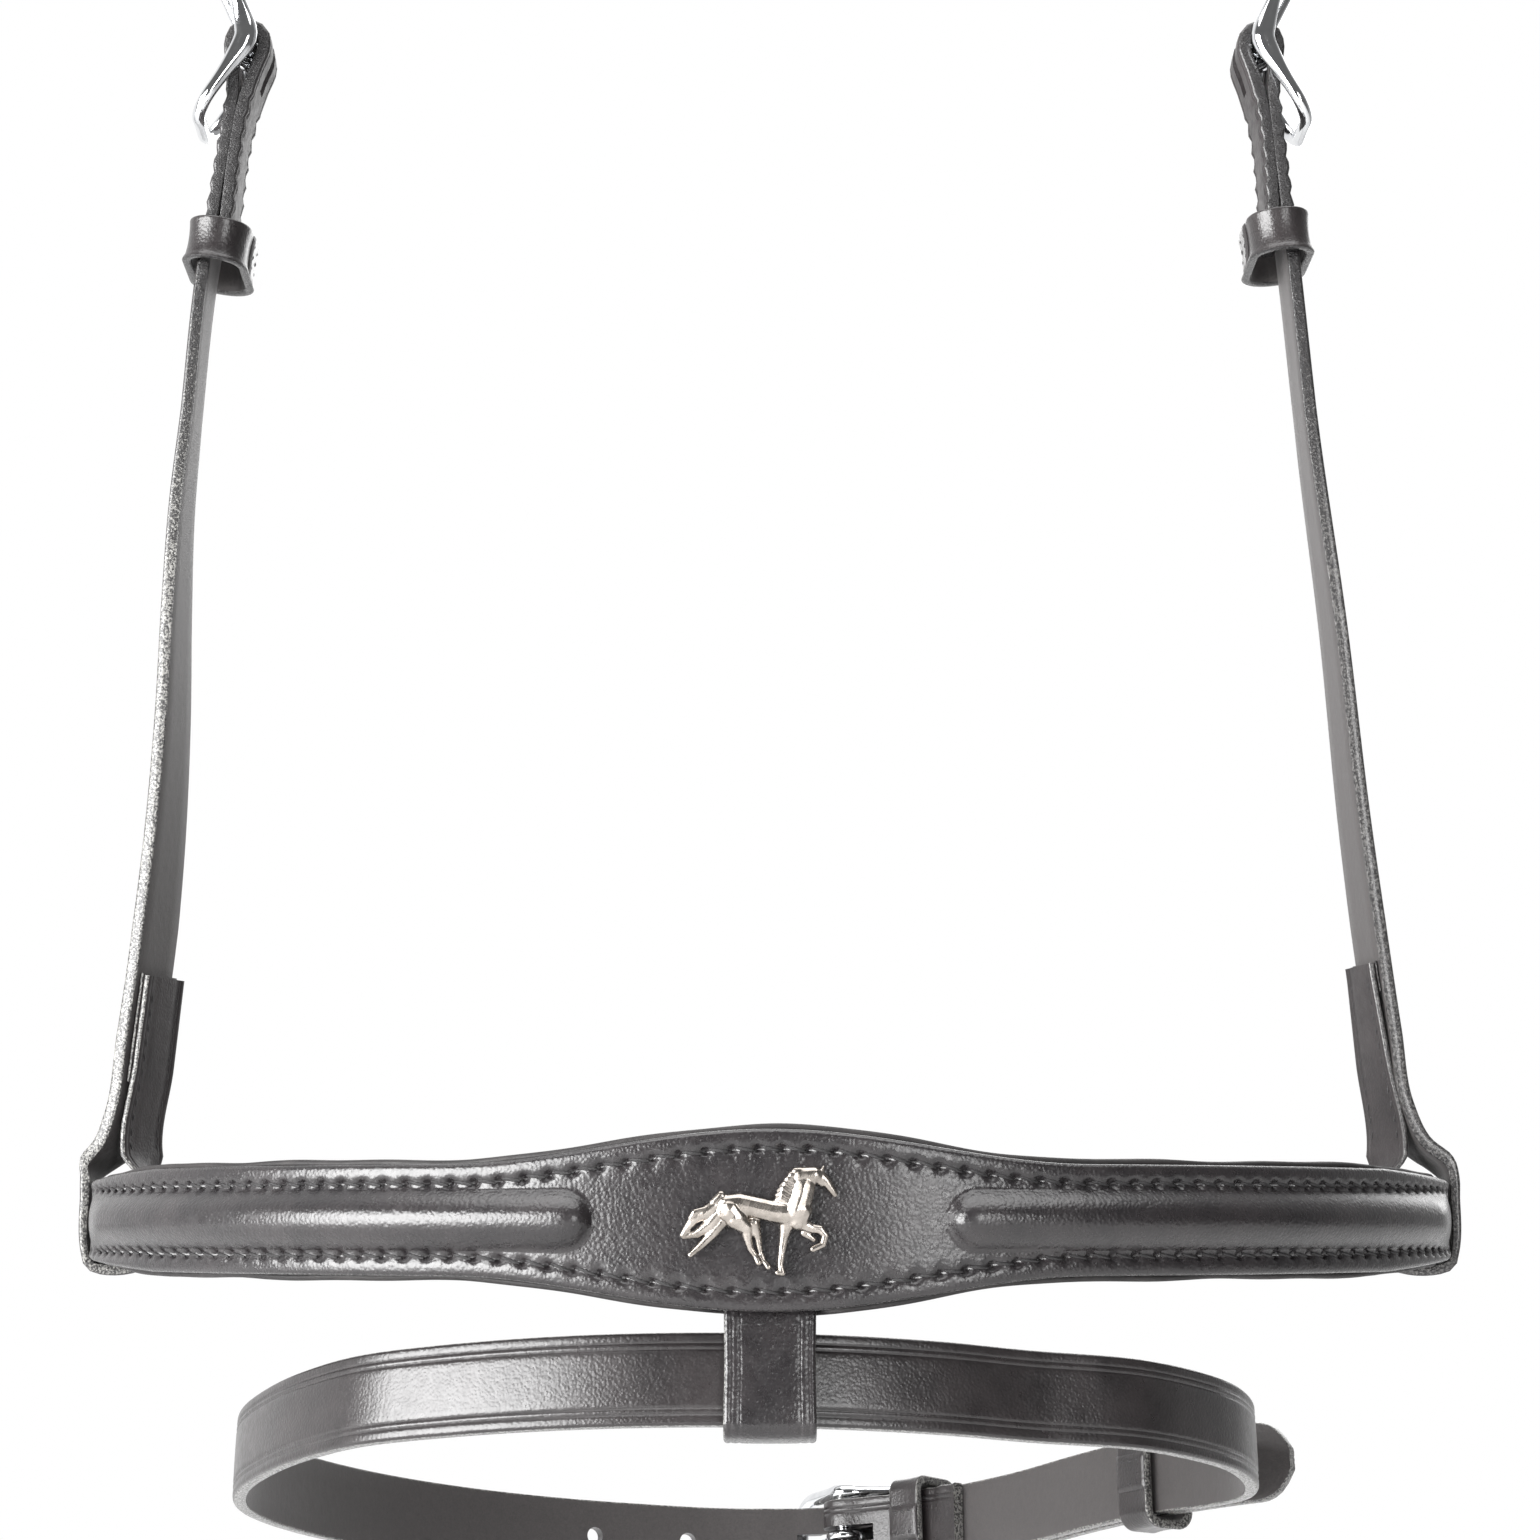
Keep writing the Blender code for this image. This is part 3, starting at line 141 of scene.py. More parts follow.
# Cheek straps, as in the model: distances out from the object's middle, and heights.
CHEEK_BAR_HEIGHT = 197.5 * MM
CHEEK_BAR_OUT = {"left": 88.8 * MM, "right": 83.4 * MM}
CHEEK_LEAN = {"left": math.radians(7.4), "right": math.radians(4.9)}
CHEEK_STRAIGHT = 42 * MM
CHEEK_LINE = {
    "left": [(97.2, 132), (98.2, 118), (98.6, 100), (98.7, 82), (99.6, 59), (101.3, 39), (102.5, 29)],
    "right": [(90.4, 128.5), (93.5, 98), (96.3, 63), (98.6, 41), (99.9, 30), (101.4, 18.5)],
}
CHEEK_FLARE = {
    "left": [(-6.1, 17), (-4.3, 11.9), (-1.3, 8.4), (-0.5, 6.8)],
    "right": [(-6.1, 12.6), (-1.5, 8.5), (-0.5, 6.8)],
}
CHEEK_LAP_LENGTH = 34 * MM
CHEEK_TWIST = {"left": math.radians(2), "right": math.radians(4)}
CHEEK_LOW_TWIST = {"left": math.radians(22), "right": math.radians(13)}
FILLER = {"left": 0.6 * MM, "right": 0.35 * MM}
FILLER_FROM = {"left": 22 * MM, "right": 36.5 * MM}
LAPPED_TO = 43 * MM
LOOP_CLEAR = 0.7 * MM
LOOP_CLEAR_OUTSIDE = 0.5 * MM
LOOP_STRAP = 1.3 * MM
# How thin the strap gets in its loop: (millimetres on from the loop's start, share of its thickness).
LOOP_SHARES = [(-8, 1), (-2, 0.76), (8.6, 0.6), (12.7, 0.77), (16.5, 0.72), (22, 0.455)]
LAP_TWIST = {"left": math.radians(2), "right": math.radians(11)}
LAP_FOOT = {"left": (-0.9, 10.2), "right": (-2.6, 10.2)}
LOOP_CLEAR_INSIDE = {"left": 1.2 * MM, "right": 2.6 * MM}
LOOP_CLEAR_BELOW = 0.1 * MM
LOOP_HALF_BELOW = 0.85 * MM
LOOP_WALL_FROM = 3.5 * MM
LOOP_WALL_TO = 4 * MM
LOOP_CORNERS = (2.6 * MM, 2.2 * MM)
LOOP_POINTS = 9
CHEEK_KEEPER_DEEP = 6.7 * MM
KEEPER_DROP = {"left": 36.3 * MM, "right": 34.3 * MM}

# The flash strap, as in the model: sideways, rearwards in its plane, and lifted out of it, in millimetres.
FLASH_ROUND = 86 * MM
FLASH_SIDEWAYS = -8 * MM
FLASH_DROOP = math.radians(13.8)
FLASH_RIGHT = [(52, 18, 0), (61, 26.7, 0), (67, 35.5, 0), (70.8, 45.5, 0), (73.2, 59, 0.4), (73.2, 72, 1.2)]
FLASH_RIGHT += [(69.6, 84, 2), (63.5, 94.5, 2.6), (53.8, 109.5, 2.4), (42, 126.5, 1.5), (29, 141, 1)]
FLASH_BAR = (14.0, 151.6, 0.5)
FLASH_LEFT = [(-3.6, 155.3, 0), (-27, 148.6, 0), (-49, 135.3, 0), (-66.3, 117.3, 0), (-77.9, 96, 0)]
FLASH_LEFT += [(-82.3, 76, 0), (-80, 56.5, 0), (-74.5, 41.5, 0), (-66, 26, 0)]
FLASH_KEEPER_AT = 74 * MM
FLASH_HOLES = (-48, -30)
FLASH_TIP = [(77, 86.5, 3.0), (83.8, 82.5, 3.2)]
TAB = 1.5 * MM
TAB_PIVOT = Vector((0, -MIDDLE_AT, -12.3 * MM))
TAB_TOP = 0.9 * MM
TAB_INSIDE = 4.5 * MM
FLASH_BELOW_PIVOT = 2.4 * MM

# The chin straps' closure, behind on the right.
CHIN_BAR_TURN = math.radians(150)
CHIN_KEEPER_TURN = math.radians(124)
CHIN_TIP_TURN = math.radians(113)
CHIN_HOLES = (-84, -66, -48, -30)

# The horse on the front.
HORSE_LENGTH = 21.4 * MM
HORSE_VOXEL = 0.11 * MM
PRONG_RADIUS = 0.5 * MM
HORSE_MIDDLE = Vector((-1.5 * MM, 0, 0.2 * MM))

# The camera stands level with the band, in front of its middle, and looks a little up.
CAMERA_BACK = 0.415
CAMERA_PITCH = math.radians(8.506)
CAMERA_LENS = 70.34
CAMERA_SENSOR = 36

# The floor and the room, in metres.
FLOOR_BELOW = 0.12
FLOOR_HALF = 1.2
FLOOR_GLOW = 0.8
ROOM_DIMMEST = 0.14
# The room in reflections: from and to along an axis, and how bright it is at each.
BRIGHT_BEHIND = (-0.22, 0.25, 0.09, 1.0)
DIM_RIGHTWARDS = (0.1, 0.7, 1.0, 0.4)

# The lights: each one's name, place, width and height in metres, and power in watts.
LIT_MIDDLE = Vector((0, 0.04, 0.02))
LIGHTS = (
    ("left softbox", (-0.95, -0.66, 0.16), (1.0, 0.8), 43),
    ("right softbox", (0.42, -0.95, 0.16), (0.22, 0.5), 4),
    ("overhead", (0.0, -0.15, 1.0), (1.2, 0.8), 11),
    ("rear fill", (0.35, 1.1, 0.5), (1.0, 0.8), 5),
)

UP = Vector((0, 0, 1))


def smooth_path(points, step):
    """Points about a step apart on a smooth curve through the given ones."""
    points = [Vector(point) for point in points]
    lengths = [(b - a).length for a, b in zip(points, points[1:])]
    slopes = [(b - a) / length for a, b, length in zip(points, points[1:], lengths)]
    tangents = [slopes[0]]
    for i in range(1, len(points) - 1):
        before, after = lengths[i - 1], lengths[i]
        tangents.append((slopes[i] * before + slopes[i - 1] * after) / (before + after))
    tangents.append(slopes[-1])
    path = []
    for i, length in enumerate(lengths):
        count = max(1, round(length / step))
        for k in range(count):
            t = k / count
            path.append(
                points[i] * (2 * t**3 - 3 * t**2 + 1)
                + tangents[i] * length * (t**3 - 2 * t**2 + t)
                + points[i + 1] * (3 * t**2 - 2 * t**3)
                + tangents[i + 1] * length * (t**3 - t**2)
            )
    path.append(points[-1])
    return path


def along(direction, origin):
    """A matrix that turns Z to a direction and moves to an origin."""
    return Matrix.Translation(origin) @ direction.to_track_quat("Z", "Y").to_matrix().to_4x4()


def frame_matrix(outward, onward, origin):
    """A matrix with X outwards from a strap, Z onwards along it and Y across it."""
    onward = onward.normalized()
    across = onward.cross(outward).normalized()
    outward = across.cross(onward)
    turn = Matrix((outward, across, onward)).transposed().to_4x4()
    return Matrix.Translation(origin) @ turn


def ring_arcs():
    """The ring's right half as (length, radius) stretches, from the front middle to the rear middle."""
    at_loop = FRONT_TURN + SIDE_TURN
    behind = at_loop + SIDE_TURN
    side_x = (
        FRONT_FLAT
        + FRONT_RADIUS * math.sin(FRONT_TURN)
        + SIDE_RADIUS * (math.sin(behind) - math.sin(FRONT_TURN))
        + LOOP_LENGTH * math.cos(at_loop)
    )
    rear_radius = side_x / math.sin(behind)
    side = SIDE_RADIUS * SIDE_TURN
    return [
        (FRONT_FLAT, None),
        (FRONT_RADIUS * FRONT_TURN, FRONT_RADIUS),
        (side, SIDE_RADIUS),
        (LOOP_LENGTH, None),
        (side, SIDE_RADIUS),
        (rear_radius * (math.pi - behind), rear_radius),
    ]


RING_ARCS = ring_arcs()
RING_HALF = sum(length for length, _ in RING_ARCS)
LOOP_FRONT = FRONT_FLAT + FRONT_RADIUS * FRONT_TURN + SIDE_RADIUS * SIDE_TURN
BAND_END = LOOP_FRONT + LOOP_LENGTH + 1.5 * MM
PADDING_END = LOOP_FRONT - 1.5 * MM
CHIN_SEWN = LOOP_FRONT - 0.5 * MM
BEHIND_LOOP = LOOP_FRONT + LOOP_LENGTH + SIDE_RADIUS * SIDE_TURN


def ring_place(distance, outward=0.0, height=0.0):
    """The point and heading at a distance along the ring from the front middle, positive to the right."""
    around = 2 * RING_HALF
    distance = (distance + RING_HALF) % around - RING_HALF
    side = -1 if distance < 0 else 1
    left = abs(distance)
    x = y = heading = 0.0
    for length, radius in RING_ARCS:
        run = min(left, length)
        if radius is None:
            x += run * math.cos(heading)
            y += run * math.sin(heading)
        else:
            turn = run / radius
            x += radius * (math.sin(heading + turn) - math.sin(heading))
            y += radius * (math.cos(heading) - math.cos(heading + turn))
            heading += turn
        left -= run
        if left <= 0:
            break
    x += outward * math.sin(heading)
    y -= outward * math.cos(heading)
    return Vector((side * x, y, height)), side, heading


def ring_outward(distance):
    """The level direction away from the nose, at a distance along the ring."""
    _, side, heading = ring_place(distance)
    return Vector((side * math.sin(heading), -math.cos(heading), 0))


def ring_distance(turn):
    """How far along the right side the ring has turned this much."""
    travelled = 0.0
    turned = 0.0
    for length, radius in RING_ARCS:
        if radius is not None:
            if turned + length / radius >= turn:
                return travelled + (turn - turned) * radius
            turned += length / radius
        travelled += length
    return travelled


CHIN_BAR = ring_distance(CHIN_BAR_TURN)


def band_half_height(distance):
    """The lining's half height: a swell at the front, then nearly even, and narrow in the cheek loops."""
    reach = min(1, abs(distance) / SWELL_REACH)
    swell = 0.5 + 0.5 * math.cos(math.pi * reach)
    half = HALF_BESIDE + (HALF_FRONT - HALF_BESIDE) * swell
    past = max(0, abs(distance) - TAPER_FROM) / (LOOP_FRONT - TAPER_FROM)
    return half + (HALF_END - HALF_BESIDE) * min(1, past)


def seam_height(distance):
    """How far above and below the middle the sewn rows run."""
    return max(band_half_height(distance) - SEAM_INSET, SEAM_LEAST)


def share_of_way(value, low, high):
    """0 below low, 1 above high, and an even rise between them."""
    return min(1, max(0, (value - low) / (high - low)))


def ramp(value, low, high):
    """0 below low, 1 above high, and a smooth rise between them."""
    t = share_of_way(value, low, high)
    return t * t * (3 - 2 * t)


def roll_fade(distance):
    """The share of its height that the roll keeps: the cheek strap's loop holds its far end down."""
    return 1 - ROLL_FLATTER * ramp(distance, ROLL_FADE_FROM, ROLL_TO)


def roll_rise(distance, height):
    """How far the panel is raised over the roll, at a distance along it and a height."""
    along_it = abs(distance)
    inside = min(along_it - ROLL_FROM, ROLL_TO - along_it)
    if inside <= 0:
        return 0.0
    end = min(1, inside / ROLL_END)
    half = ROLL_FOOT_HALF * (1 - (1 - end) ** 2.6) ** 0.5
    across = abs(height) / max(half, 0.01 * MM)
    if across >= 1:
        return 0.0
    top = ROLL_RISE * roll_fade(along_it) * (1 - (1 - end) ** 3) ** 0.5
    return top * (1 - across**2.2) ** 1.15


def over_bar(thickness):
    """How a buckled strap rises over the bar and lies on the other strap, as (distance, outward) points."""
    half_layers = (thickness + GAP) / 2
    fold_top = BAR_RADIUS + FOLD_CLEARANCE + thickness
    crest = fold_top + 0.4 * MM + thickness / 2
    resting = half_layers + thickness + GAP
    points = [(-40, half_layers), (-26, half_layers), (-16, half_layers + 0.8 * MM)]
    points += [(-7, crest - 0.8 * MM), (0, crest), (7, resting + 0.7 * MM), (14, resting), (24, resting)]
    return [Vector((distance * MM, outward)) for distance, outward in points]


def fold_points(thickness, lap_length):
    """The lapped end of a strap folded round a bar, as (distance from the bar, outward) points."""
    half_layers = (thickness + GAP) / 2
    radius = BAR_RADIUS + FOLD_CLEARANCE + thickness / 2
    arc = [math.radians(angle) for angle in range(-90, 91, 30)]
    around = [(-radius * math.cos(a), radius * math.sin(a)) for a in arc]
    lap = [(lap_length, -half_layers), (9 * MM, -half_layers), (4.5 * MM, -0.5 * (radius + half_layers))]
    main = [(4.5 * MM, 0.5 * (radius + half_layers)), (9 * MM, half_layers), (14 * MM, half_layers)]
    main += [(LAP_LENGTH, half_layers)]
    return [Vector((a, n)) for a, n in lap + around + main]


def tongue_tip(frame_size):
    """The tongue's tip, as (onward, outward) from the bar; the stem lies just clear of the far rail."""
    half_length, set_back = frame_size
    reach = math.hypot(half_length, set_back)
    rise = math.atan2(set_back, half_length)
    rise += math.asin((WIRE_RADIUS + TONGUE_RADIUS + GAP) / reach)
    return Vector((math.cos(rise), math.sin(rise))) * (reach + 1.2 * MM)


class Cheek:
    """One cheek strap's place: its loop round the band's end, its straight upper stretch and its bar."""

    def __init__(self, side_name):
        self.name = side_name
        self.side = -1 if side_name == "left" else 1
        centre = self.side * (LOOP_FRONT + LOOP_LENGTH / 2)
        self.loop, _, self.heading = ring_place(centre)
        self.out = ring_outward(centre)
        self.tangent = Vector((self.side * math.cos(self.heading), math.sin(self.heading), 0))
        lean = CHEEK_LEAN[side_name]
        self.bar = self.at(self.out_of(CHEEK_BAR_OUT[side_name]), CHEEK_BAR_HEIGHT)
        self.up = (UP * math.cos(lean) - self.out * math.sin(lean)).normalized()
        outward = self.across(CHEEK_TWIST[side_name]).cross(self.up)
        if outward.dot(self.out) < 0:
            outward = -outward
        self.outward = outward.normalized()

    def out_of(self, sideways):
        """How far out from the loop's middle the strap is, when it is this far from the object's middle."""
        return (sideways - abs(self.loop.x)) / abs(self.out.x)

    def at(self, outward, height):
        return self.loop + self.out * outward + UP * height

    def across(self, twist):
        """Across the strap, towards the rear, turned inwards by the twist."""
        return Matrix.Rotation(self.side * twist, 3, "Z") @ self.tangent

    def twist_at(self, height, lapped):
        """None beside the band, most just above it, and a little up the strap."""
        most = CHEEK_LOW_TWIST[self.name]
        low = share_of_way(height, 6.4 * MM, 9.9 * MM)
        high = share_of_way(height, 48 * MM, 133 * MM)
        more = LAP_TWIST[self.name] * (1 - share_of_way(height, 10 * MM, 39 * MM)) if lapped else 0.0
        return (most + more) * low + (CHEEK_TWIST[self.name] - most) * high

    def bar_matrix(self, down=0.0):
        return frame_matrix(self.outward, self.up, self.bar - self.up * down)

    def line(self):
        """The middle line's points from the straight stretch to the loop."""
        return [Vector((self.out_of(x * MM), z * MM)) for x, z in CHEEK_LINE[self.name]]


def loop_corner(wall, floor, radius, angles):
    """Points round one lower corner of the loop, as (outward, height)."""
    middle = wall + (-radius if wall > 0 else radius)
    turns = [math.radians(angle) for angle in angles]
    return [Vector((middle + radius * math.cos(a), floor + radius + radius * math.sin(a))) for a in turns]


def lap_ends(cheek, outward=0.0):
    """The two ends of the straight layer behind the strap, from just above the band to its top."""
    top = [point for point in cheek.line() if point.y < LAPPED_TO][0]
    foot_out, foot_height = LAP_FOOT[cheek.name]
    foot = Vector((foot_out * MM + outward, foot_height * MM))
    return foot, top - Vector((STRAP / 2 + LAP / 2 + FILLER[cheek.name] + 1.7 * GAP - outward, 0))


def cheek_path(cheek):
    """The strap's middle line as (outward from the loop, height), before its loop and after it begins."""
    lean = CHEEK_LEAN[cheek.name]
    bar_out = cheek.out_of(CHEEK_BAR_OUT[cheek.name])

    def upper(down, outward):
        out = bar_out + down * math.sin(lean) + outward * math.cos(lean)
        return Vector((out, CHEEK_BAR_HEIGHT - down * math.cos(lean) + outward * math.sin(lean)))

    before = [upper(point.x, point.y) for point in fold_points(STRAP, CHEEK_LAP_LENGTH)]
    before += [upper(CHEEK_STRAIGHT, HALF_LAYERS)]
    before += cheek.line()
    outer_wall = PANEL_FACE + LOOP_CLEAR + STRAP / 2
    inner_wall = -LOOP_CLEAR_INSIDE[cheek.name] - LAP / 2
    floor = -HALF_END - LOOP_CLEAR_BELOW - LOOP_HALF_BELOW
    before += [Vector((outer_wall + out * MM, z * MM)) for out, z in CHEEK_FLARE[cheek.name]]
    thin_wall = PANEL_FACE + LOOP_CLEAR_OUTSIDE + LOOP_STRAP / 2
    after = [Vector((thin_wall + GAP, LOOP_WALL_FROM))]
    after += loop_corner(thin_wall, floor, LOOP_CORNERS[0], (0, -30, -60, -90))
    after += loop_corner(inner_wall, floor, LOOP_CORNERS[1], (-90, -120, -150, -180))
    foot, head = lap_ends(cheek)
    after += [Vector((inner_wall, LOOP_WALL_TO)), Vector((inner_wall, HALF_END))]
    after += [foot, foot.lerp(head, 0.5), head]
    return before, after


def flash_axes():
    """The flash strap's own directions: rearwards in its plane, and down across its width."""
    rearward = Vector((0, math.cos(FLASH_DROOP), -math.sin(FLASH_DROOP)))
    downward = Vector((0, -math.sin(FLASH_DROOP), -math.cos(FLASH_DROOP)))
    return rearward, downward


def flash_origin():
    """Where the strap's middle line passes the tab, in the plane of its middle."""
    rearward, downward = flash_axes()
    front = TAB / 2 + 0.8 * MM + STRAP / 2
    return TAB_PIVOT + rearward * front + downward * (FLASH_BELOW_PIVOT + STRAP_WIDTH / 2)


def flash_in_plane(sideways, rear, lift):
    """A point given in the flash strap's own directions."""
    rearward, downward = flash_axes()
    return flash_origin() + Vector((sideways, 0, 0)) + rearward * rear - downward * lift


def flash_front(turn):
    """A point of the round front, as (sideways, rearwards)."""
    sag = FLASH_ROUND - math.sqrt(FLASH_ROUND**2 - FLASH_SIDEWAYS**2)
    return (FLASH_SIDEWAYS + FLASH_ROUND * math.sin(turn), FLASH_ROUND * (1 - math.cos(turn)) - sag)


def flash_line():
    """The main loop's middle line from the bar by the right, the front and the left to the bar again."""
    turns = [math.radians(angle) for angle in (30, 22, 14, 6, -2, -10, -18, -26, -34)]
    points = [tuple(value * MM for value in point) for point in [FLASH_BAR, *reversed(FLASH_RIGHT)]]
    points += [(*flash_front(turn), 0) for turn in turns]
    points += [tuple(value * MM for value in point) for point in [*reversed(FLASH_LEFT), FLASH_BAR]]
    points = [flash_in_plane(*point) for point in points]
    looped = smooth_path(points[-3:-1] + points + points[1:3], 1 * MM)
    first = min(range(len(looped) // 3), key=lambda i: (looped[i] - points[0]).length)
    last = min(range(len(looped) // 3 * 2, len(looped)), key=lambda i: (looped[i] - points[0]).length)
    line = looped[first : last + 1]
    travelled = [0.0]
    for a, b in zip(line, line[1:]):
        travelled.append(travelled[-1] + (b - a).length)
    return line, travelled


FLASH_LINE = flash_line()


def flash_place(distance, outward):
    """A point on the flash strap, a distance from its bar towards the right, the front and round.

    Outward counts from the middle between its two layers at the buckle; the line is the outer one's."""
    line, travelled = FLASH_LINE
    along_it = distance % travelled[-1]
    i = 1
    while travelled[i] < along_it and i < len(line) - 1:
        i += 1
    share = (along_it - travelled[i - 1]) / (travelled[i] - travelled[i - 1])
    before, after = line[max(0, i - 3)], line[min(len(line) - 1, i + 2)]
    if i < 3:
        before = line[i - 4] - line[-1] + line[0]
    onward = (after - before).normalized()
    _, downward = flash_axes()
    out = onward.cross(downward).normalized()
    return line[i - 1].lerp(line[i], share) + out * (outward - HALF_LAYERS), out, onward


def flash_matrix(distance):
    """A matrix at a distance from the flash buckle's bar, between its two layers, facing the bar."""
    place, out, onward = flash_place(distance, 0)
    return frame_matrix(out, -onward, place)


def chin_place(distance, outward):
    """A point on the chin straps: a distance from the bar towards the right cheek loop."""
    at = CHIN_BAR - distance
    place = ring_place(at, MIDDLE_AT - CHIN_HALF_LAYERS + outward)[0]
    return place, ring_outward(at)


def chin_matrix(distance, outward=0.0):
    """A matrix at a distance from the chin buckle's bar, facing the bar."""
    place, out = chin_place(distance, outward)
    onward = Vector((-out.y, out.x, 0))
    if (chin_place(distance - 1 * MM, outward)[0] - place).dot(onward) < 0:
        onward = -onward
    return frame_matrix(out, onward, place)


def mesh_object(name, points, faces, finishes, zones=None, angle=40):
    """A new piece from points and faces, shaded smooth, each face with the finish of its zone."""
    mesh = bpy.data.meshes.new(name)
    mesh.from_pydata([tuple(point) for point in points], [], faces)
    for finish in finishes:
        mesh.materials.append(finish)
    if zones:
        mesh.polygons.foreach_set("material_index", zones)
    tidy = bmesh.new()
    tidy.from_mesh(mesh)
    bmesh.ops.recalc_face_normals(tidy, faces=tidy.faces)
    tidy.to_mesh(mesh)
    tidy.free()
    mesh.shade_smooth()
    mesh.set_sharp_from_angle(angle=math.radians(angle))
    piece = bpy.data.objects.new(name, mesh)
    bpy.context.scene.collection.objects.link(piece)
    return piece


def swept(name, rings, zones, finishes, closed=False, angle=40):
    """A closed skin through rings of points; zones, if any, give the finish of each strip between points."""
    count = len(rings[0])
    zones = zones or [0] * count
    points = [point for ring in rings for point in ring]
    faces = []
    marks = []
    last = len(rings) if closed else len(rings) - 1
    for i in range(last):
        here, there = i * count, ((i + 1) % len(rings)) * count
        for k in range(count):
            after = (k + 1) % count
            faces.append((here + k, here + after, there + after, there + k))
            marks.append(zones[k])
    if not closed:
        end = (len(rings) - 1) * count
        faces.append(tuple(range(count)))
        faces.append(tuple(end + k for k in range(count)))
        marks += [zones[0] if len(set(zones)) == 1 else 1] * 2
    return mesh_object(name, points, faces, finishes, marks, angle)


# One place along a strap: its middle, the way across it, the way its grain side faces, and its sizes.
Station = namedtuple("Station", "place across grain half thickness travelled")


def stations(path, acrosses, outward_hint, halves, thicknesses):
    """Stations along a path; the grain side starts nearest the hint and never flips."""
    made = []
    travelled = 0.0
    for i, place in enumerate(path):
        ahead = path[min(i + 1, len(path) - 1)] - path[max(i - 1, 0)]
        across = acrosses[i].normalized()
        grain = across.cross(ahead).normalized()
        if i == 0:
            sign = 1 if grain.dot(outward_hint) >= 0 else -1
        else:
            travelled += (place - path[i - 1]).length
        made.append(Station(place, across, grain * sign, halves[i], thicknesses[i], travelled))
    return made


def corner_points(half_u, half_v, edge, sides, angles, zone_of):
    """One rounded corner of a section, as (u, v, zone); sides are the signs of u and v there."""
    points = []
    for angle in angles:
        a = math.radians(angle)
        u = half_u - edge + edge * math.sin(a)
        v = half_v - edge + edge * math.cos(a)
        points.append((sides[0] * u, sides[1] * v, zone_of(angle)))
    return points


def leather_round(half, shoulder, face, edge, back_edge, angles):
    """A leather section from one shoulder round its cut edges and back to the other, as (u, v, zone)."""
    section = corner_points(half, shoulder, edge, (1, 1), angles, lambda a: int(a >= 50))
    section += corner_points(half, face, back_edge, (1, -1), (90, 45, 0), lambda a: 1 if a else 2)
    section += [(half * share, -face, 2) for share in (0.5, 0, -0.5)]
    section += corner_points(half, face, back_edge, (-1, -1), (0, 45, 90), lambda a: 1)
    return section + corner_points(half, shoulder, edge, (-1, 1), angles[::-1], lambda a: int(a >= 50))


def strap_section(half, thickness, creases, crease_depth):
    """A strap's cross section as (across, towards the grain side, zone): its face, its cut edges, its back.

    Creases are distances from the edge; each is a narrow groove."""
    face = thickness / 2
    edge = min(STRAP_EDGE, thickness * 0.45, half * 0.4)
    grooves = [side * (half - distance) for distance in creases for side in (1, -1)]
    flat = half - edge
    across = [-flat + 2 * flat * i / 8 for i in range(9)]
    for groove in grooves:
        for step in (-0.45, -0.22, 0, 0.22, 0.45):
            across.append(max(-flat * 0.99, min(flat * 0.99, groove + step * MM)))
    section = []
    for w in sorted(across):
        dip = 0.0
        for groove in grooves:
            far = abs(w - groove) / MM
            dip = max(dip, crease_depth * max(0, 1 - far / 0.3))
        crown = STRAP_CROWN * (1 - (w / half) ** 2)
        section.append((w, face - dip + crown - STRAP_CROWN, 0))
    return section + leather_round(half, face - STRAP_CROWN, face, edge, edge * 0.6, (18, 40, 65, 90))


def strap_rings(along_it, creases, shape=None, crease_depth=0.16 * MM):
    """The rings of a strap's skin; shape may move a point, given its station, across and height."""
    rings = []
    zones = None
    for station in along_it:
        section = strap_section(station.half, station.thickness, creases, crease_depth)
        zones = [zone for _, _, zone in section]
        ring = []
        for w, n, _ in section:
            if shape:
                w, n = shape(station, w, n)
            ring.append(station.place + station.across * w + station.grain * n)
        rings.append(ring)
    return rings, zones


def cut_with(piece, cutters):
    """Cut closed meshes out of a piece and keep the result as its mesh."""
    for tool in cutters:
        cut = piece.modifiers.new("cut", "BOOLEAN")
        cut.object = tool
        cut.operation = "DIFFERENCE"
        cut.solver = "EXACT"
    bpy.context.view_layer.update()
    made = bpy.data.meshes.new_from_object(piece.evaluated_get(bpy.context.evaluated_depsgraph_get()))
    piece.modifiers.clear()
    old = piece.data
    made.name = old.name
    piece.data = made
    bpy.data.meshes.remove(old)
    for tool in cutters:
        used = tool.data
        bpy.data.objects.remove(tool)
        bpy.data.meshes.remove(used)


def cutter(matrix, build):
    """A closed mesh to cut with, built in a bmesh and put in its place."""
    mesh = bpy.data.meshes.new("cutter")
    solid = bmesh.new()
    build(solid)
    solid.to_mesh(mesh)
    solid.free()
    piece = bpy.data.objects.new("cutter", mesh)
    bpy.context.scene.collection.objects.link(piece)
    piece.matrix_world = matrix
    return piece


def round_cutter(matrix, radius, length):
    size = {"radius1": radius, "radius2": radius, "depth": length}
    return cutter(matrix, lambda solid: bmesh.ops.create_cone(solid, cap_ends=True, segments=28, **size))


def box_cutter(matrix, size):
    def build(solid):
        bmesh.ops.create_cube(solid, size=1)
        bmesh.ops.scale(solid, vec=size, verts=solid.verts)

    return cutter(matrix, build)


def tongue_slot(bar):
    """The slot in a fold, where the tongue's eye goes round the bar."""
    size = (12 * MM, 2 * (EYE_WIRE + 0.6 * MM), 17 * MM)
    return box_cutter(bar @ Matrix.Translation((0, 0, 1.5 * MM)), size)


def strap_hole(place):
    """A punched hole through a strap, outwards from its place."""
    return round_cutter(place @ Matrix.Rotation(math.pi / 2, 4, "Y"), HOLE_RADIUS, 9 * MM)


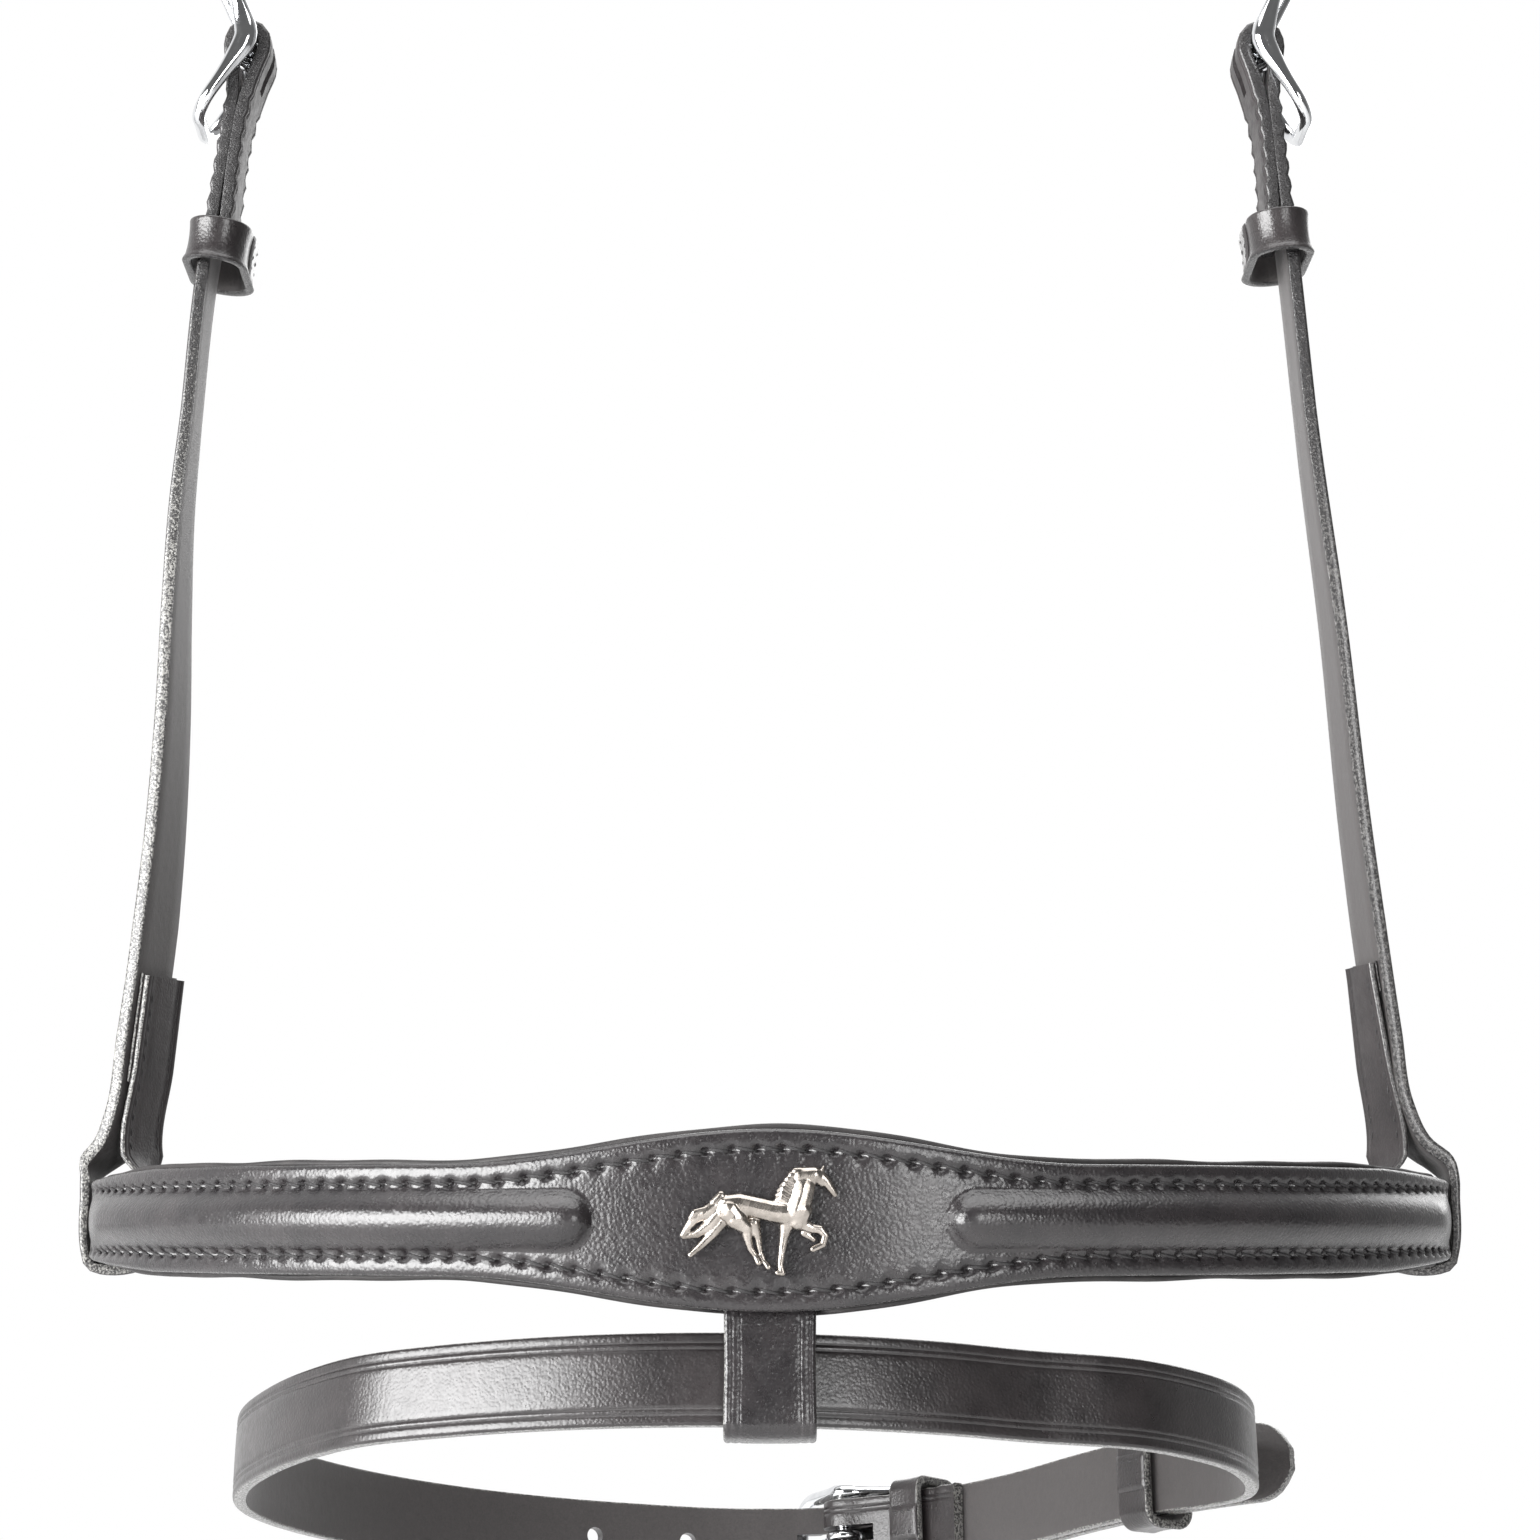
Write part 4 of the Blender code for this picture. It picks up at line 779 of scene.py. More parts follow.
def dress(piece, body, slot, *nodes):
    """Put a piece on its body, in place of the nodes it stands for; the slot is not used."""
    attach(piece, body)
    if nodes:
        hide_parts(*nodes)


def circle(count):
    """Directions spread evenly round a circle, as (cosine, sine) pairs."""
    turns = [2 * math.pi * k / count for k in range(count)]
    return [(math.cos(turn), math.sin(turn)) for turn in turns]


def thread_row(name, holes, body, slot, radius=0.26 * MM, lift=0.16 * MM, slant=0.26 * MM, keep=0.72):
    """Stitches from hole to hole: short arched threads, each a little aslant.

    Holes are (point on the surface, the way across the row, outward)."""
    points = []
    faces = []
    sides = 8
    steps = 7
    for (start, across, out), (end, across_end, out_end) in zip(holes, holes[1:]):
        run = end - start
        first = len(points)
        for i in range(steps):
            t = i / (steps - 1)
            middle = start + run * (0.5 + (t - 0.5) * keep)
            sideways = (across.lerp(across_end, t)).normalized()
            outward = (out.lerp(out_end, t)).normalized()
            arch = math.sin(math.pi * t)
            middle = middle + sideways * slant * (1 - 2 * t) + outward * (lift * arch - 0.32 * MM)
            thick = radius * (0.55 + 0.45 * arch**0.5)
            points += [middle + sideways * thick * c + outward * thick * s for c, s in circle(sides)]
        for i in range(steps - 1):
            for k in range(sides):
                a = first + i * sides + k
                b = first + i * sides + (k + 1) % sides
                faces.append((a, b, b + sides, a + sides))
        faces.append(tuple(first + k for k in range(sides)))
        faces.append(tuple(first + (steps - 1) * sides + k for k in range(sides)))
    dress(mesh_object(name, points, faces, [THREAD]), body, slot)


def add_node(tree, kind, inputs=None, **settings):
    """A new shader node: its settings, then its inputs, each a value or an output to link."""
    made = tree.nodes.new(kind)
    for setting, value in settings.items():
        setattr(made, setting, value)
    for socket, value in (inputs or {}).items():
        if isinstance(value, bpy.types.NodeSocket):
            tree.links.new(value, made.inputs[socket])
        else:
            made.inputs[socket].default_value = value
    return made


def spread(tree, value, low, high, to_low=0.0, to_high=1.0):
    """A value that goes from low to high, mapped to go from to_low to to_high."""
    ends = {"From Min": low, "From Max": high, "To Min": to_low, "To Max": to_high, "Value": value}
    return add_node(tree, "ShaderNodeMapRange", ends).outputs["Result"]


def maths(tree, operation, first, second):
    """The outcome of a sum of two values or outputs."""
    return add_node(tree, "ShaderNodeMath", {0: first, 1: second}, operation=operation).outputs[0]


class Finish:
    """A Principled material whose colour, roughness and relief come from noise fixed to the piece."""

    def __init__(self, name, **values):
        self.material = bpy.data.materials.new(name)
        self.material.use_nodes = True
        self.tree = self.material.node_tree
        self.shader = self.tree.nodes["Principled BSDF"]
        self.place = add_node(self.tree, "ShaderNodeTexCoord").outputs["Object"]
        self.normal = None
        for socket, value in values.items():
            self.shader.inputs[socket.replace("_", " ")].default_value = value

    def noise(self, size, detail=3.0, rough=0.55, distortion=0.0):
        """Noise whose features are about this size, in metres."""
        inputs = {"Scale": 1 / size, "Detail": detail, "Roughness": rough, "Distortion": distortion}
        inputs["Vector"] = self.place
        return add_node(self.tree, "ShaderNodeTexNoise", inputs).outputs["Fac"]

    def pebbles(self, size):
        """Leather grain: rounded cells about this size, uneven in place, high in their middles."""
        noise = add_node(self.tree, "ShaderNodeTexNoise", {"Scale": 1 / (size * 2.2), "Vector": self.place})
        warped = noise.outputs["Color"]
        steps = (("SUBTRACT", 1, (0.5, 0.5, 0.5)), ("SCALE", "Scale", size * 0.9), ("ADD", 1, self.place))
        for operation, socket, value in steps:
            inputs = {0: warped, socket: value}
            warped = add_node(self.tree, "ShaderNodeVectorMath", inputs, operation=operation).outputs[0]
        cells = {"Scale": 1 / size, "Smoothness": 0.6, "Randomness": 1.0, "Vector": warped}
        cells = add_node(self.tree, "ShaderNodeTexVoronoi", cells, feature="SMOOTH_F1")
        return maths(self.tree, "SUBTRACT", 1.0, cells.outputs["Distance"])

    def bump(self, height, distance, strength=1.0):
        inputs = {"Strength": strength, "Distance": distance, "Height": height}
        if self.normal is not None:
            inputs["Normal"] = self.normal
        self.normal = add_node(self.tree, "ShaderNodeBump", inputs).outputs["Normal"]
        self.tree.links.new(self.normal, self.shader.inputs["Normal"])

    def colour(self, value, low, high, dark, light):
        """The colour goes from dark to light as the value goes from low to high."""
        ends = {"A": (*dark, 1), "B": (*light, 1), "Factor": spread(self.tree, value, low, high)}
        mix = add_node(self.tree, "ShaderNodeMix", ends, data_type="RGBA")
        self.tree.links.new(mix.outputs["Result"], self.shader.inputs["Base Color"])

    def roughness(self, value, low, high, to_low, to_high):
        self.tree.links.new(
            spread(self.tree, value, low, high, to_low, to_high), self.shader.inputs["Roughness"]
        )


def leather(name, dark, light, grain, relief, rough_low, rough_high, coat, level=0.5):
    """Dyed bridle leather: pebbled grain, faint creasing, uneven dye and a waxed top."""
    finish = Finish(name, Coat_Weight=coat, Coat_Roughness=0.26, Specular_IOR_Level=level)
    finish.colour(finish.noise(7 * MM, 4), 0.35, 0.65, dark, light)
    finish.roughness(finish.noise(1.4 * MM, 3), 0.3, 0.7, rough_low, rough_high)
    finish.bump(finish.noise(3.6 * MM, 2, 0.5, 0.4), 0.06 * MM, 0.5)
    finish.bump(finish.pebbles(grain), relief, 0.9)
    finish.bump(finish.noise(0.2 * MM, 2), 0.014 * MM, 0.6)
    return finish.material


def cut_edge(name, dark, light, size=0.34 * MM):
    """A cut edge: light flecks, partly its dressing's own and partly painted glints; darker towards the top.
    """
    finish = Finish(name, Coat_Weight=0.5, Coat_Roughness=0.16)
    # The light flecks are partly the dressing's own flecks and partly painted glints.
    flecks_and_glints = finish.noise(size, 2, 0.7)
    height = add_node(finish.tree, "ShaderNodeSeparateXYZ", {0: finish.place}).outputs["Z"]
    # Fewer light flecks higher up, so the edge is darker towards the top.
    darker_up = spread(finish.tree, height, *EDGE_DARKER_UPWARD, 0.0, 0.2)
    finish.colour(maths(finish.tree, "SUBTRACT", flecks_and_glints, darker_up), 0.45, 0.6, dark, light)
    finish.roughness(flecks_and_glints, 0.4, 0.62, 0.5, 0.22)
    finish.bump(finish.noise(0.9 * MM, 3, 0.6), 0.2 * MM, 0.8)
    finish.bump(flecks_and_glints, 0.16 * MM, 1.0)
    return finish.material


def flesh_side(name, dark, light):
    """The back of a strap: matt, with short fibres."""
    finish = Finish(name, Sheen_Weight=0.15, Sheen_Roughness=0.5)
    fibre = finish.noise(0.5 * MM, 5, 0.7, 1.5)
    finish.colour(fibre, 0.35, 0.7, dark, light)
    finish.roughness(fibre, 0.3, 0.7, 0.5, 0.72)
    finish.bump(finish.noise(1.8 * MM, 3), 0.12 * MM, 0.5)
    finish.bump(fibre, 0.06 * MM, 0.7)
    return finish.material


def thread(name, dark, light):
    """Waxed thread: fine strands, a little glossy."""
    finish = Finish(name)
    strands = finish.noise(0.22 * MM, 2, 0.6, 2.0)
    finish.colour(strands, 0.35, 0.65, dark, light)
    finish.roughness(strands, 0.3, 0.7, 0.38, 0.6)
    finish.bump(strands, 0.07 * MM, 0.9)
    return finish.material


def metal(name, dark, light, rough_low, rough_high, relief):
    """A polished casting: a few soft dents, faint buffing marks and small differences of gloss."""
    finish = Finish(name, Metallic=1.0)
    finish.colour(finish.noise(3 * MM, 3), 0.3, 0.7, dark, light)
    finish.roughness(finish.noise(1.1 * MM, 4), 0.3, 0.75, rough_low, rough_high)
    finish.bump(finish.noise(2.2 * MM, 2), relief, 0.5)
    finish.bump(finish.noise(0.6 * MM, 2), relief * 0.15, 0.5)
    return finish.material


def soft_inside(name, dark, light, size):
    """Foam or cord: matt and full of pores."""
    finish = Finish(name)
    pores = finish.noise(size, 5, 0.75)
    finish.colour(pores, 0.35, 0.65, dark, light)
    finish.roughness(pores, 0.3, 0.7, 0.8, 0.95)
    finish.bump(pores, 0.2 * MM, 1.0)
    return finish.material


# The heights between which the cheek straps' cut edges turn from pale to dark.
EDGE_DARKER_UPWARD = (105 * MM, 165 * MM)
PANEL_LEATHER = leather(
    "panel leather", (0.011, 0.0095, 0.0105), (0.021, 0.018, 0.019), 0.5 * MM, 0.075 * MM, 0.24, 0.33, 0.35
)
STRAP_LEATHER = leather(
    "strap leather", (0.013, 0.011, 0.0115), (0.023, 0.0195, 0.020), 0.45 * MM, 0.055 * MM, 0.27, 0.37, 0.3
)
CHEEK_LEATHER = leather(
    "cheek leather", (0.015, 0.0125, 0.013), (0.026, 0.022, 0.0225), 0.45 * MM, 0.05 * MM, 0.46, 0.58, 0.0,
    0.4,
)
LINING_LEATHER = leather(
    "lining leather", (0.016, 0.0145, 0.015), (0.030, 0.027, 0.027), 0.4 * MM, 0.03 * MM, 0.5, 0.62, 0.0, 0.4
)
EDGE = cut_edge("flecked edge", (0.012, 0.011, 0.0115), (0.24, 0.235, 0.222))
# The right cheek strap's edges: a darker copy of the same flecked edge, painted shade.
SHADED_RIGHT_EDGE = cut_edge("darker flecked edge", (0.011, 0.010, 0.0105), (0.105, 0.101, 0.098), 0.4 * MM)
PANEL_EDGE = cut_edge("painted edge", (0.012, 0.011, 0.0115), (0.05, 0.046, 0.046), 0.4 * MM)
BACK = flesh_side("flesh side", (0.025, 0.022, 0.022), (0.052, 0.046, 0.045))
THREAD = thread("black thread", (0.007, 0.0065, 0.007), (0.030, 0.028, 0.029))
CHROME = metal("bright chrome", (0.74, 0.75, 0.77), (0.86, 0.87, 0.88), 0.05, 0.12, 0.014 * MM)
NICKEL = metal("warm nickel", (0.25, 0.225, 0.2), (0.5, 0.455, 0.415), 0.2, 0.34, 0.02 * MM)
FOAM = soft_inside("foam", (0.07, 0.065, 0.06), (0.11, 0.105, 0.10), 0.5 * MM)
CORD = soft_inside("roll cord", (0.10, 0.08, 0.06), (0.17, 0.145, 0.115), 0.4 * MM)

STRAP_FINISHES = [STRAP_LEATHER, EDGE, BACK]
# The right cheek strap takes the darker edge copy: painted shade.
CHEEK_FINISHES = {"left": [CHEEK_LEATHER, EDGE, BACK], "right": [CHEEK_LEATHER, SHADED_RIGHT_EDGE, BACK]}


def even_distances(first, last, step):
    """Distances from first to last, evenly spaced by about a step."""
    count = max(1, round((last - first) / step))
    return [first + (last - first) * i / count for i in range(count + 1)]


def seam_distances(side):
    """Where the needle went through the panel, along one half of the band."""
    last = ROLL_TO - 0.8 * MM
    return [side * STITCH * (i + 0.5) for i in range(int(last / STITCH))]


SEAM_HOLES = sorted(seam_distances(-1) + seam_distances(1))


def nearest_hole(distance):
    """How far along the band the nearest needle hole is."""
    place = (distance / STITCH) - 0.5
    return abs(place - round(place)) * STITCH


def panel_height(distance, height):
    """How far the panel's face stands outwards at a place on it."""
    half = band_half_height(distance) - PANEL_INSET
    seam = seam_height(distance)
    face = PANEL_FACE + roll_rise(distance, height)
    beside = abs(height) - seam
    if abs(distance) < ROLL_TO:
        groove = math.exp(-((beside / GROOVE_HALF) ** 2))
        along_it = math.exp(-((nearest_hole(distance) / PIT_HALF) ** 2))
        across = math.exp(-((beside / PIT_HALF) ** 2))
        face -= GROOVE_DEEP * groove + PIT_DEEP * across * along_it
    if beside > 0:
        share = min(1, beside / max(half - seam, 0.5 * MM))
        face += 0.22 * MM * (1 - (2 * share - 1) ** 2) - 0.12 * MM * share
    return face


def nose_panel():
    """The outer leather: raised over the rolls, pitted at every stitch, its edges turned down."""
    rings = []
    zones = []
    edge = PANEL_ROUNDING
    for distance in even_distances(-BAND_END, BAND_END, 0.42 * MM):
        half = band_half_height(distance) - PANEL_INSET
        seam = seam_height(distance)
        roll = min(ROLL_FOOT_HALF, seam - 0.85 * MM)
        flat = half - edge
        right = [roll * i / 10 for i in range(1, 11)]
        right += [roll + (seam - 0.8 * MM - roll) * share for share in (0.35, 0.7, 1)]
        right += [seam + step * MM for step in (-0.5, -0.22, 0, 0.22, 0.5)]
        start = min(seam + 0.8 * MM, flat)
        right += [start + (flat - start) * share for share in (0, 0.35, 0.7, 1)]
        heights = [-height for height in reversed(right)] + [0.0] + right
        face = [(z, panel_height(distance, z), 0) for z in heights]
        rim = panel_height(distance, flat)
        corner = corner_points(half, rim, edge, (1, 1), (22, 45, 68, 90), lambda a: int(a >= 60))
        section = face + corner + [(half, PANEL_BACK + 0.3 * MM, 1), (half - 0.3 * MM, PANEL_BACK, 2)]
        for share in (0.96, 0.75, 0.4, 0, -0.4, -0.75, -0.96):
            z = roll * share
            section.append((z, PANEL_BACK + max(0, roll_rise(distance, z) - 0.5 * MM) * 0.8, 2))
        section += [(-half + 0.3 * MM, PANEL_BACK, 1), (-half, PANEL_BACK + 0.3 * MM, 1)]
        section += [(-z, n, zone) for z, n, zone in reversed(corner)]
        zones = [zone for _, _, zone in section]
        rings.append([ring_place(distance, n, z)[0] for z, n, _ in section])
    panel = swept("stitched_nose_panel", rings, zones, [PANEL_LEATHER, PANEL_EDGE, BACK], angle=50)
    dress(panel, "nose_band", "panel_leather", "nose_panel")


def panel_stitches():
    """The two sewn rows that run along the panel beside the rolls."""
    for name, sign in (("upper_seam", 1), ("lower_seam", -1)):
        holes = []
        for distance in SEAM_HOLES:
            z = sign * seam_height(distance)
            out = ring_outward(distance)
            holes.append((ring_place(distance, PANEL_FACE + 0.1 * MM, z)[0], UP, out))
        thread_row(f"{name}_stitches", holes, "nose_band", "panel_leather")


def nose_lining():
    """The soft lining, its edges turned out to cover the padding's."""
    rings = []
    for distance in even_distances(-BAND_END, BAND_END, 1.1 * MM):
        wave = 0.11 * math.sin(distance / (6.1 * MM)) + 0.08 * math.sin(distance / (2.9 * MM) + 1.3)
        half = band_half_height(distance) + wave * MM
        top = PANEL_BACK - 0.12 * MM
        low_top = top + (LINING + 0.5 * MM - top) * (1 - ramp(abs(distance), 6.9 * MM, 8.2 * MM))
        section = []
        for sign, rim in ((-1, low_top), (1, top)):
            outside = [(0.3, rim), (0.08, rim - 0.2 * MM), (0, rim - 0.45 * MM)]
            outside += [(-0.07, (rim + 0.3 * MM) / 2), (0, 0.55 * MM), (0.16, 0.2 * MM), (0.55, 0)]
            inside = [(1.0, LINING), (1.0, max(LINING, rim - 0.25 * MM)), (0.75, rim)]
            if sign < 0:
                section += [(-(half - inset * MM), n) for inset, n in outside]
                low_inside = [(-(half - inset * MM), n) for inset, n in inside]
            else:
                section += [(half * share, 0) for share in (-0.6, -0.2, 0.2, 0.6)]
                section += [(half - inset * MM, n) for inset, n in reversed(outside)]
                section += [(half - inset * MM, n) for inset, n in reversed(inside)]
        section += low_inside
        rings.append([ring_place(distance, n, z)[0] for z, n in section])
    lining = swept("turned_edge_lining", rings, None, [LINING_LEATHER], angle=60)
    dress(lining, "nose_band", "lining_leather", "nose_lining")


def rounded_section(half, low, high, edge):
    """A flat pad's section with full round edges, as (height, outward)."""
    section = []
    across_count = 6
    for sign in (1, -1):
        for i in range(across_count + 1):
            share = -sign * (1 - 2 * i / across_count)
            section.append((share * (half - edge), high if sign > 0 else low))
        for angle in (30, 60, 90, 120, 150):
            a = math.radians(angle)
            middle = (low + high) / 2
            section.append(
                (sign * (half - edge + edge * math.sin(a)), middle + sign * (high - low) / 2 * math.cos(a))
            )
    return section


def nose_padding():
    """The foam, with a notch at the bottom where the tab is sewn in."""
    rings = []
    for distance in even_distances(-PADDING_END, PADDING_END, 1.6 * MM):
        half = band_half_height(distance) - PADDING_INSET - 0.1 * MM
        section = rounded_section(half, LINING + 0.15 * MM, PANEL_BACK - 0.15 * MM, 1.1 * MM)
        rings.append([ring_place(distance, n, z)[0] for z, n in section])
    padding = swept("foam_padding", rings, None, [FOAM])
    notch = Matrix.Translation((0, -MIDDLE_AT, TAB_PIVOT.z - 0.6 * MM))
    cut_with(padding, [box_cutter(notch, (STRAP_WIDTH + 1.4 * MM, 8 * MM, 4 * MM))])
    dress(padding, "nose_band", "foam", "nose_padding")


def roll_core(name, side):
    """The cord that raises a roll: half round, its ends rounded."""
    rings = []
    first = ROLL_FROM + 2.2 * MM
    last = ROLL_TO - 8.5 * MM
    for distance in even_distances(first, last, 1.2 * MM):
        near_end = min(1, (min(distance - first, last - distance) + 0.25 * MM) / (3 * MM))
        size = math.sqrt(1 - (1 - near_end) ** 2)
        rise = (ROLL_RISE * roll_fade(distance) - 0.9 * MM) * size
        half = (ROLL_HALF - 1.3 * MM) * size
        seat = PANEL_BACK + 0.08 * MM
        ring = [(seat + rise * max(0, s), half * c) for c, s in circle(14)]
        rings.append([ring_place(side * distance, *point)[0] for point in ring])
    core = swept(f"{name}_cord", rings, None, [CORD])
    dress(core, "nose_band", "roll_cord", name)


def pit(position, pitch=STITCH):
    """1 where the needle went through and 0 midway between, for a place along a sewn row."""
    return 0.5 + 0.5 * math.cos(2 * math.pi * position / pitch)


# Where the folds are sewn, down from the bar, and how far inside the edges the rows run.
FOLD_SEWN = (9.2 * MM, 26.2 * MM)
CHEEK_FOLD_SEWN = (9.2 * MM, 31 * MM)
FOLD_ENDS = 75 * MM
SEWN_INSET = 1.9 * MM
LAP_INSET = 2.1 * MM
LAP_STITCH = 2.4 * MM


def sewn_share(down, sewn=FOLD_SEWN):
    """How far inside the sewn stretch of a folded end this is, from 0 to 1."""
    return ramp(down, sewn[0] - 1.5 * MM, sewn[0]) * (1 - ramp(down, sewn[1], sewn[1] + 1 * MM))


def scalloped(share, position, half, w, n, depth=0.42 * MM):
    """Leather pulled in at a row of stitches near each edge, and puffed up between them."""
    if share <= 0 or n <= 0:
        return w, n
    pulled = pit(position)
    beside = (abs(w) - (half - SEWN_INSET)) / MM
    near = 1.0 if beside > 0 else math.exp(-((beside / 0.8) ** 2))
    n += share * near * (0.16 * MM - depth * pulled)
    if abs(w) > half - 0.7 * MM:
        w -= math.copysign(share * 0.16 * MM * pulled, w)
    return w, n


def fold_measure(bar, last):
    """A function that says how far below the bar a station of a fold lies, or -1 past the folded end."""
    place = bar.to_translation()
    up = bar.to_3x3() @ UP
    return lambda station: -1.0 if station.travelled > last else (place - station.place).dot(up)


def fold_shape(down_of):
    """A function that gives a fold's sewn stretch its scalloped edges."""

    def shape(station, w, n):
        down = down_of(station)
        return scalloped(sewn_share(down), down, station.half, w, n, 0.22 * MM)

    return shape


def fold_stitches(name, folded, down_of, body, edges):
    """The sewn rows along both edges of a fold's two layers."""
    fold = max(range(len(folded)), key=lambda i: -down_of(folded[i]))
    for label, part in (("lap", folded[:fold]), ("main", folded[fold:])):
        rows = row_on(part, down_of, *FOLD_SEWN, SEWN_INSET)
        for edge, holes in zip(edges, rows.values()):
            thread_row(f"{name}_{label}_{edge}_stitches", holes, body, "strap_leather", 0.3 * MM)


def row_on(along_it, down_of, first, last, inset, lift=0.0, pitch=STITCH):
    """Needle holes along both edges of a strap, where a measure of its stations passes each pitch."""
    rows = {1: [], -1: []}
    for before, after in zip(along_it, along_it[1:]):
        low, high = sorted((down_of(before), down_of(after)))
        index = math.ceil(low / pitch)
        while index * pitch <= high:
            down = index * pitch
            index += 1
            if not first <= down <= last:
                continue
            span = down_of(after) - down_of(before)
            share = 0 if abs(span) < 1e-9 else (down - down_of(before)) / span
            place = before.place.lerp(after.place, share)
            grain = before.grain.lerp(after.grain, share)
            top = before.thickness / 2 + lift
            for sign in (1, -1):
                point = place + before.across * sign * (before.half - inset) + grain * top
                rows[sign].append((point, before.across, grain))
    return rows


def loop_share(travelled):
    """The share of its thickness that the strap keeps, so far on from the start of its loop."""
    for (before, share), (after, share_after) in zip(LOOP_SHARES, LOOP_SHARES[1:]):
        if travelled <= after * MM:
            along_it = max(0, travelled - before * MM) / ((after - before) * MM)
            return share + (share_after - share) * along_it
    return LOOP_SHARES[-1][1]


def cheek_strap(cheek):
    """The strap: folded round its bar, down, round the band's end and up again as the lap behind itself."""
    before, after = cheek_path(cheek)
    path = smooth_path(before + after, 1.1 * MM)
    loop_start = min(range(len(path)), key=lambda i: (path[i] - after[0]).length)
    loop_end = min(range(len(path)), key=lambda i: (path[i] - after[LOOP_POINTS]).length)
    travelled = [0.0]
    for a, b in zip(path, path[1:]):
        travelled.append(travelled[-1] + (b - a).length)
    places = []
    acrosses = []
    thicknesses = []
    for i, point in enumerate(path):
        eased = ramp(i, loop_start - 5, loop_start) * (1 - ramp(i, loop_end, loop_end + 4))
        places.append(cheek.at(point.x, point.y))
        acrosses.append(cheek.across(cheek.twist_at(point.y, i > loop_end) * (1 - eased)))
        thicknesses.append(STRAP * loop_share(travelled[i] - travelled[loop_start]))
    halves = [STRAP_WIDTH / 2] * len(path)
    along_it = stations(places, acrosses, -cheek.outward, halves, thicknesses)
    lap_begins = travelled[loop_end]
    total = travelled[-1]

    def down_of(station):
        return (cheek.bar - station.place).dot(cheek.up)

    def shape(station, w, n):
        down = down_of(station)
        sewn = sewn_share(down, CHEEK_FOLD_SEWN) if station.travelled < total / 2 else 0
        w, n = scalloped(sewn, down, station.half, w, n)
        if station.travelled > lap_begins and n > 0:
            share = ramp(station.travelled, lap_begins + 6 * MM, lap_begins + 9 * MM)
            far = (abs(w) - (station.half - LAP_INSET)) / MM
            dip = (0.2 + 0.12 * pit(total - station.travelled, LAP_STITCH)) * MM
            n -= share * dip * math.exp(-((far / 0.4) ** 2))
        return w, n

    rings, zones = strap_rings(along_it, (1.35 * MM,), shape)
    strap = swept(f"{cheek.name}_cheek_leather", rings, zones, CHEEK_FINISHES[cheek.name])
    cut_with(strap, [tongue_slot(cheek.bar_matrix())])
    dress(strap, f"cheek_{cheek.name}", "cheek_leather", f"cheek_strap_{cheek.name}")
    cheek_stitches(cheek, along_it, down_of, lap_begins, total)


def cheek_stitches(cheek, along_it, down_of, lap_begins, total):
    """The sewn rows of the fold's two layers, and those of the lap above the band."""
    upper = along_it[: len(along_it) // 2]
    for label, side in (("inner", -1), ("outer", 1)):
        layer = [station for station in upper if side * station.grain.dot(cheek.outward) > 0.6]
        rows = row_on(layer, down_of, *CHEEK_FOLD_SEWN, SEWN_INSET)
        for edge, holes in zip(("rear", "front"), rows.values()):
            name = f"{cheek.name}_{label}_{edge}_stitches"
            thread_row(name, holes, f"cheek_{cheek.name}", "cheek_leather")
    lap = [station for station in along_it if station.travelled > lap_begins + 6 * MM]
    rows = row_on(lap, lambda s: total - s.travelled, LAP_STITCH, total, LAP_INSET, -0.1 * MM, LAP_STITCH)
    for edge, holes in zip(("rear", "front"), rows.values()):
        name = f"{cheek.name}_lap_{edge}_stitches"
        thread_row(name, holes, f"cheek_{cheek.name}", "cheek_leather", THIN_THREAD, 0.18 * MM)


def cheek_filler(cheek):
    """The thin leather between the two layers above the band."""
    thickness = FILLER[cheek.name]
    foot, head = lap_ends(cheek, LAP / 2 + GAP + thickness / 2)
    low, high = FILLER_FROM[cheek.name], head.y + 0.4 * MM
    slope = (head - foot) / (head.y - foot.y)
    line = [foot + slope * (height - foot.y) for height in (low, (low + high) / 2, high)]
    path = smooth_path(line, 1 * MM)
    places = [cheek.at(point.x, point.y) for point in path]
    acrosses = [cheek.across(cheek.twist_at(point.y, True)) for point in path]
    halves = [STRAP_WIDTH / 2 - 0.4 * MM] * len(path)
    along_it = stations(places, acrosses, cheek.outward, halves, [thickness] * len(path))
    rings, zones = strap_rings(along_it, ())
    filler = swept(f"{cheek.name}_filler_leather", rings, zones, CHEEK_FINISHES[cheek.name])
    dress(filler, f"cheek_{cheek.name}", "cheek_leather", f"cheek_filler_{cheek.name}")


def keeper_outline(middle, depth, half, corner):
    """Round a keeper's middle line, as (outward, across) points; the flat stretches are unevenly spaced."""
    outline = []
    corners = ((-1, 1, 180), (1, 1, 90), (1, -1, 0), (-1, -1, 270))
    for i, (sign_n, sign_w, start) in enumerate(corners):
        for step in range(10):
            a = math.radians(start - 10 * step)
            outline.append((
                middle + sign_n * (depth - corner) + corner * math.cos(a),
                sign_w * (half - corner) + corner * math.sin(a),
            ))
        next_n, next_w, _ = corners[(i + 1) % 4]
        a = math.radians(start - 90)
        ahead = (
            middle + next_n * (depth - corner) + corner * math.cos(a),
            next_w * (half - corner) + corner * math.sin(a),
        )
        for share in (0.25, 0.5, 0.75):
            n, w = outline[-1]
            outline.append((n + (ahead[0] - n) * share, w + (ahead[1] - w) * share))
    return outline


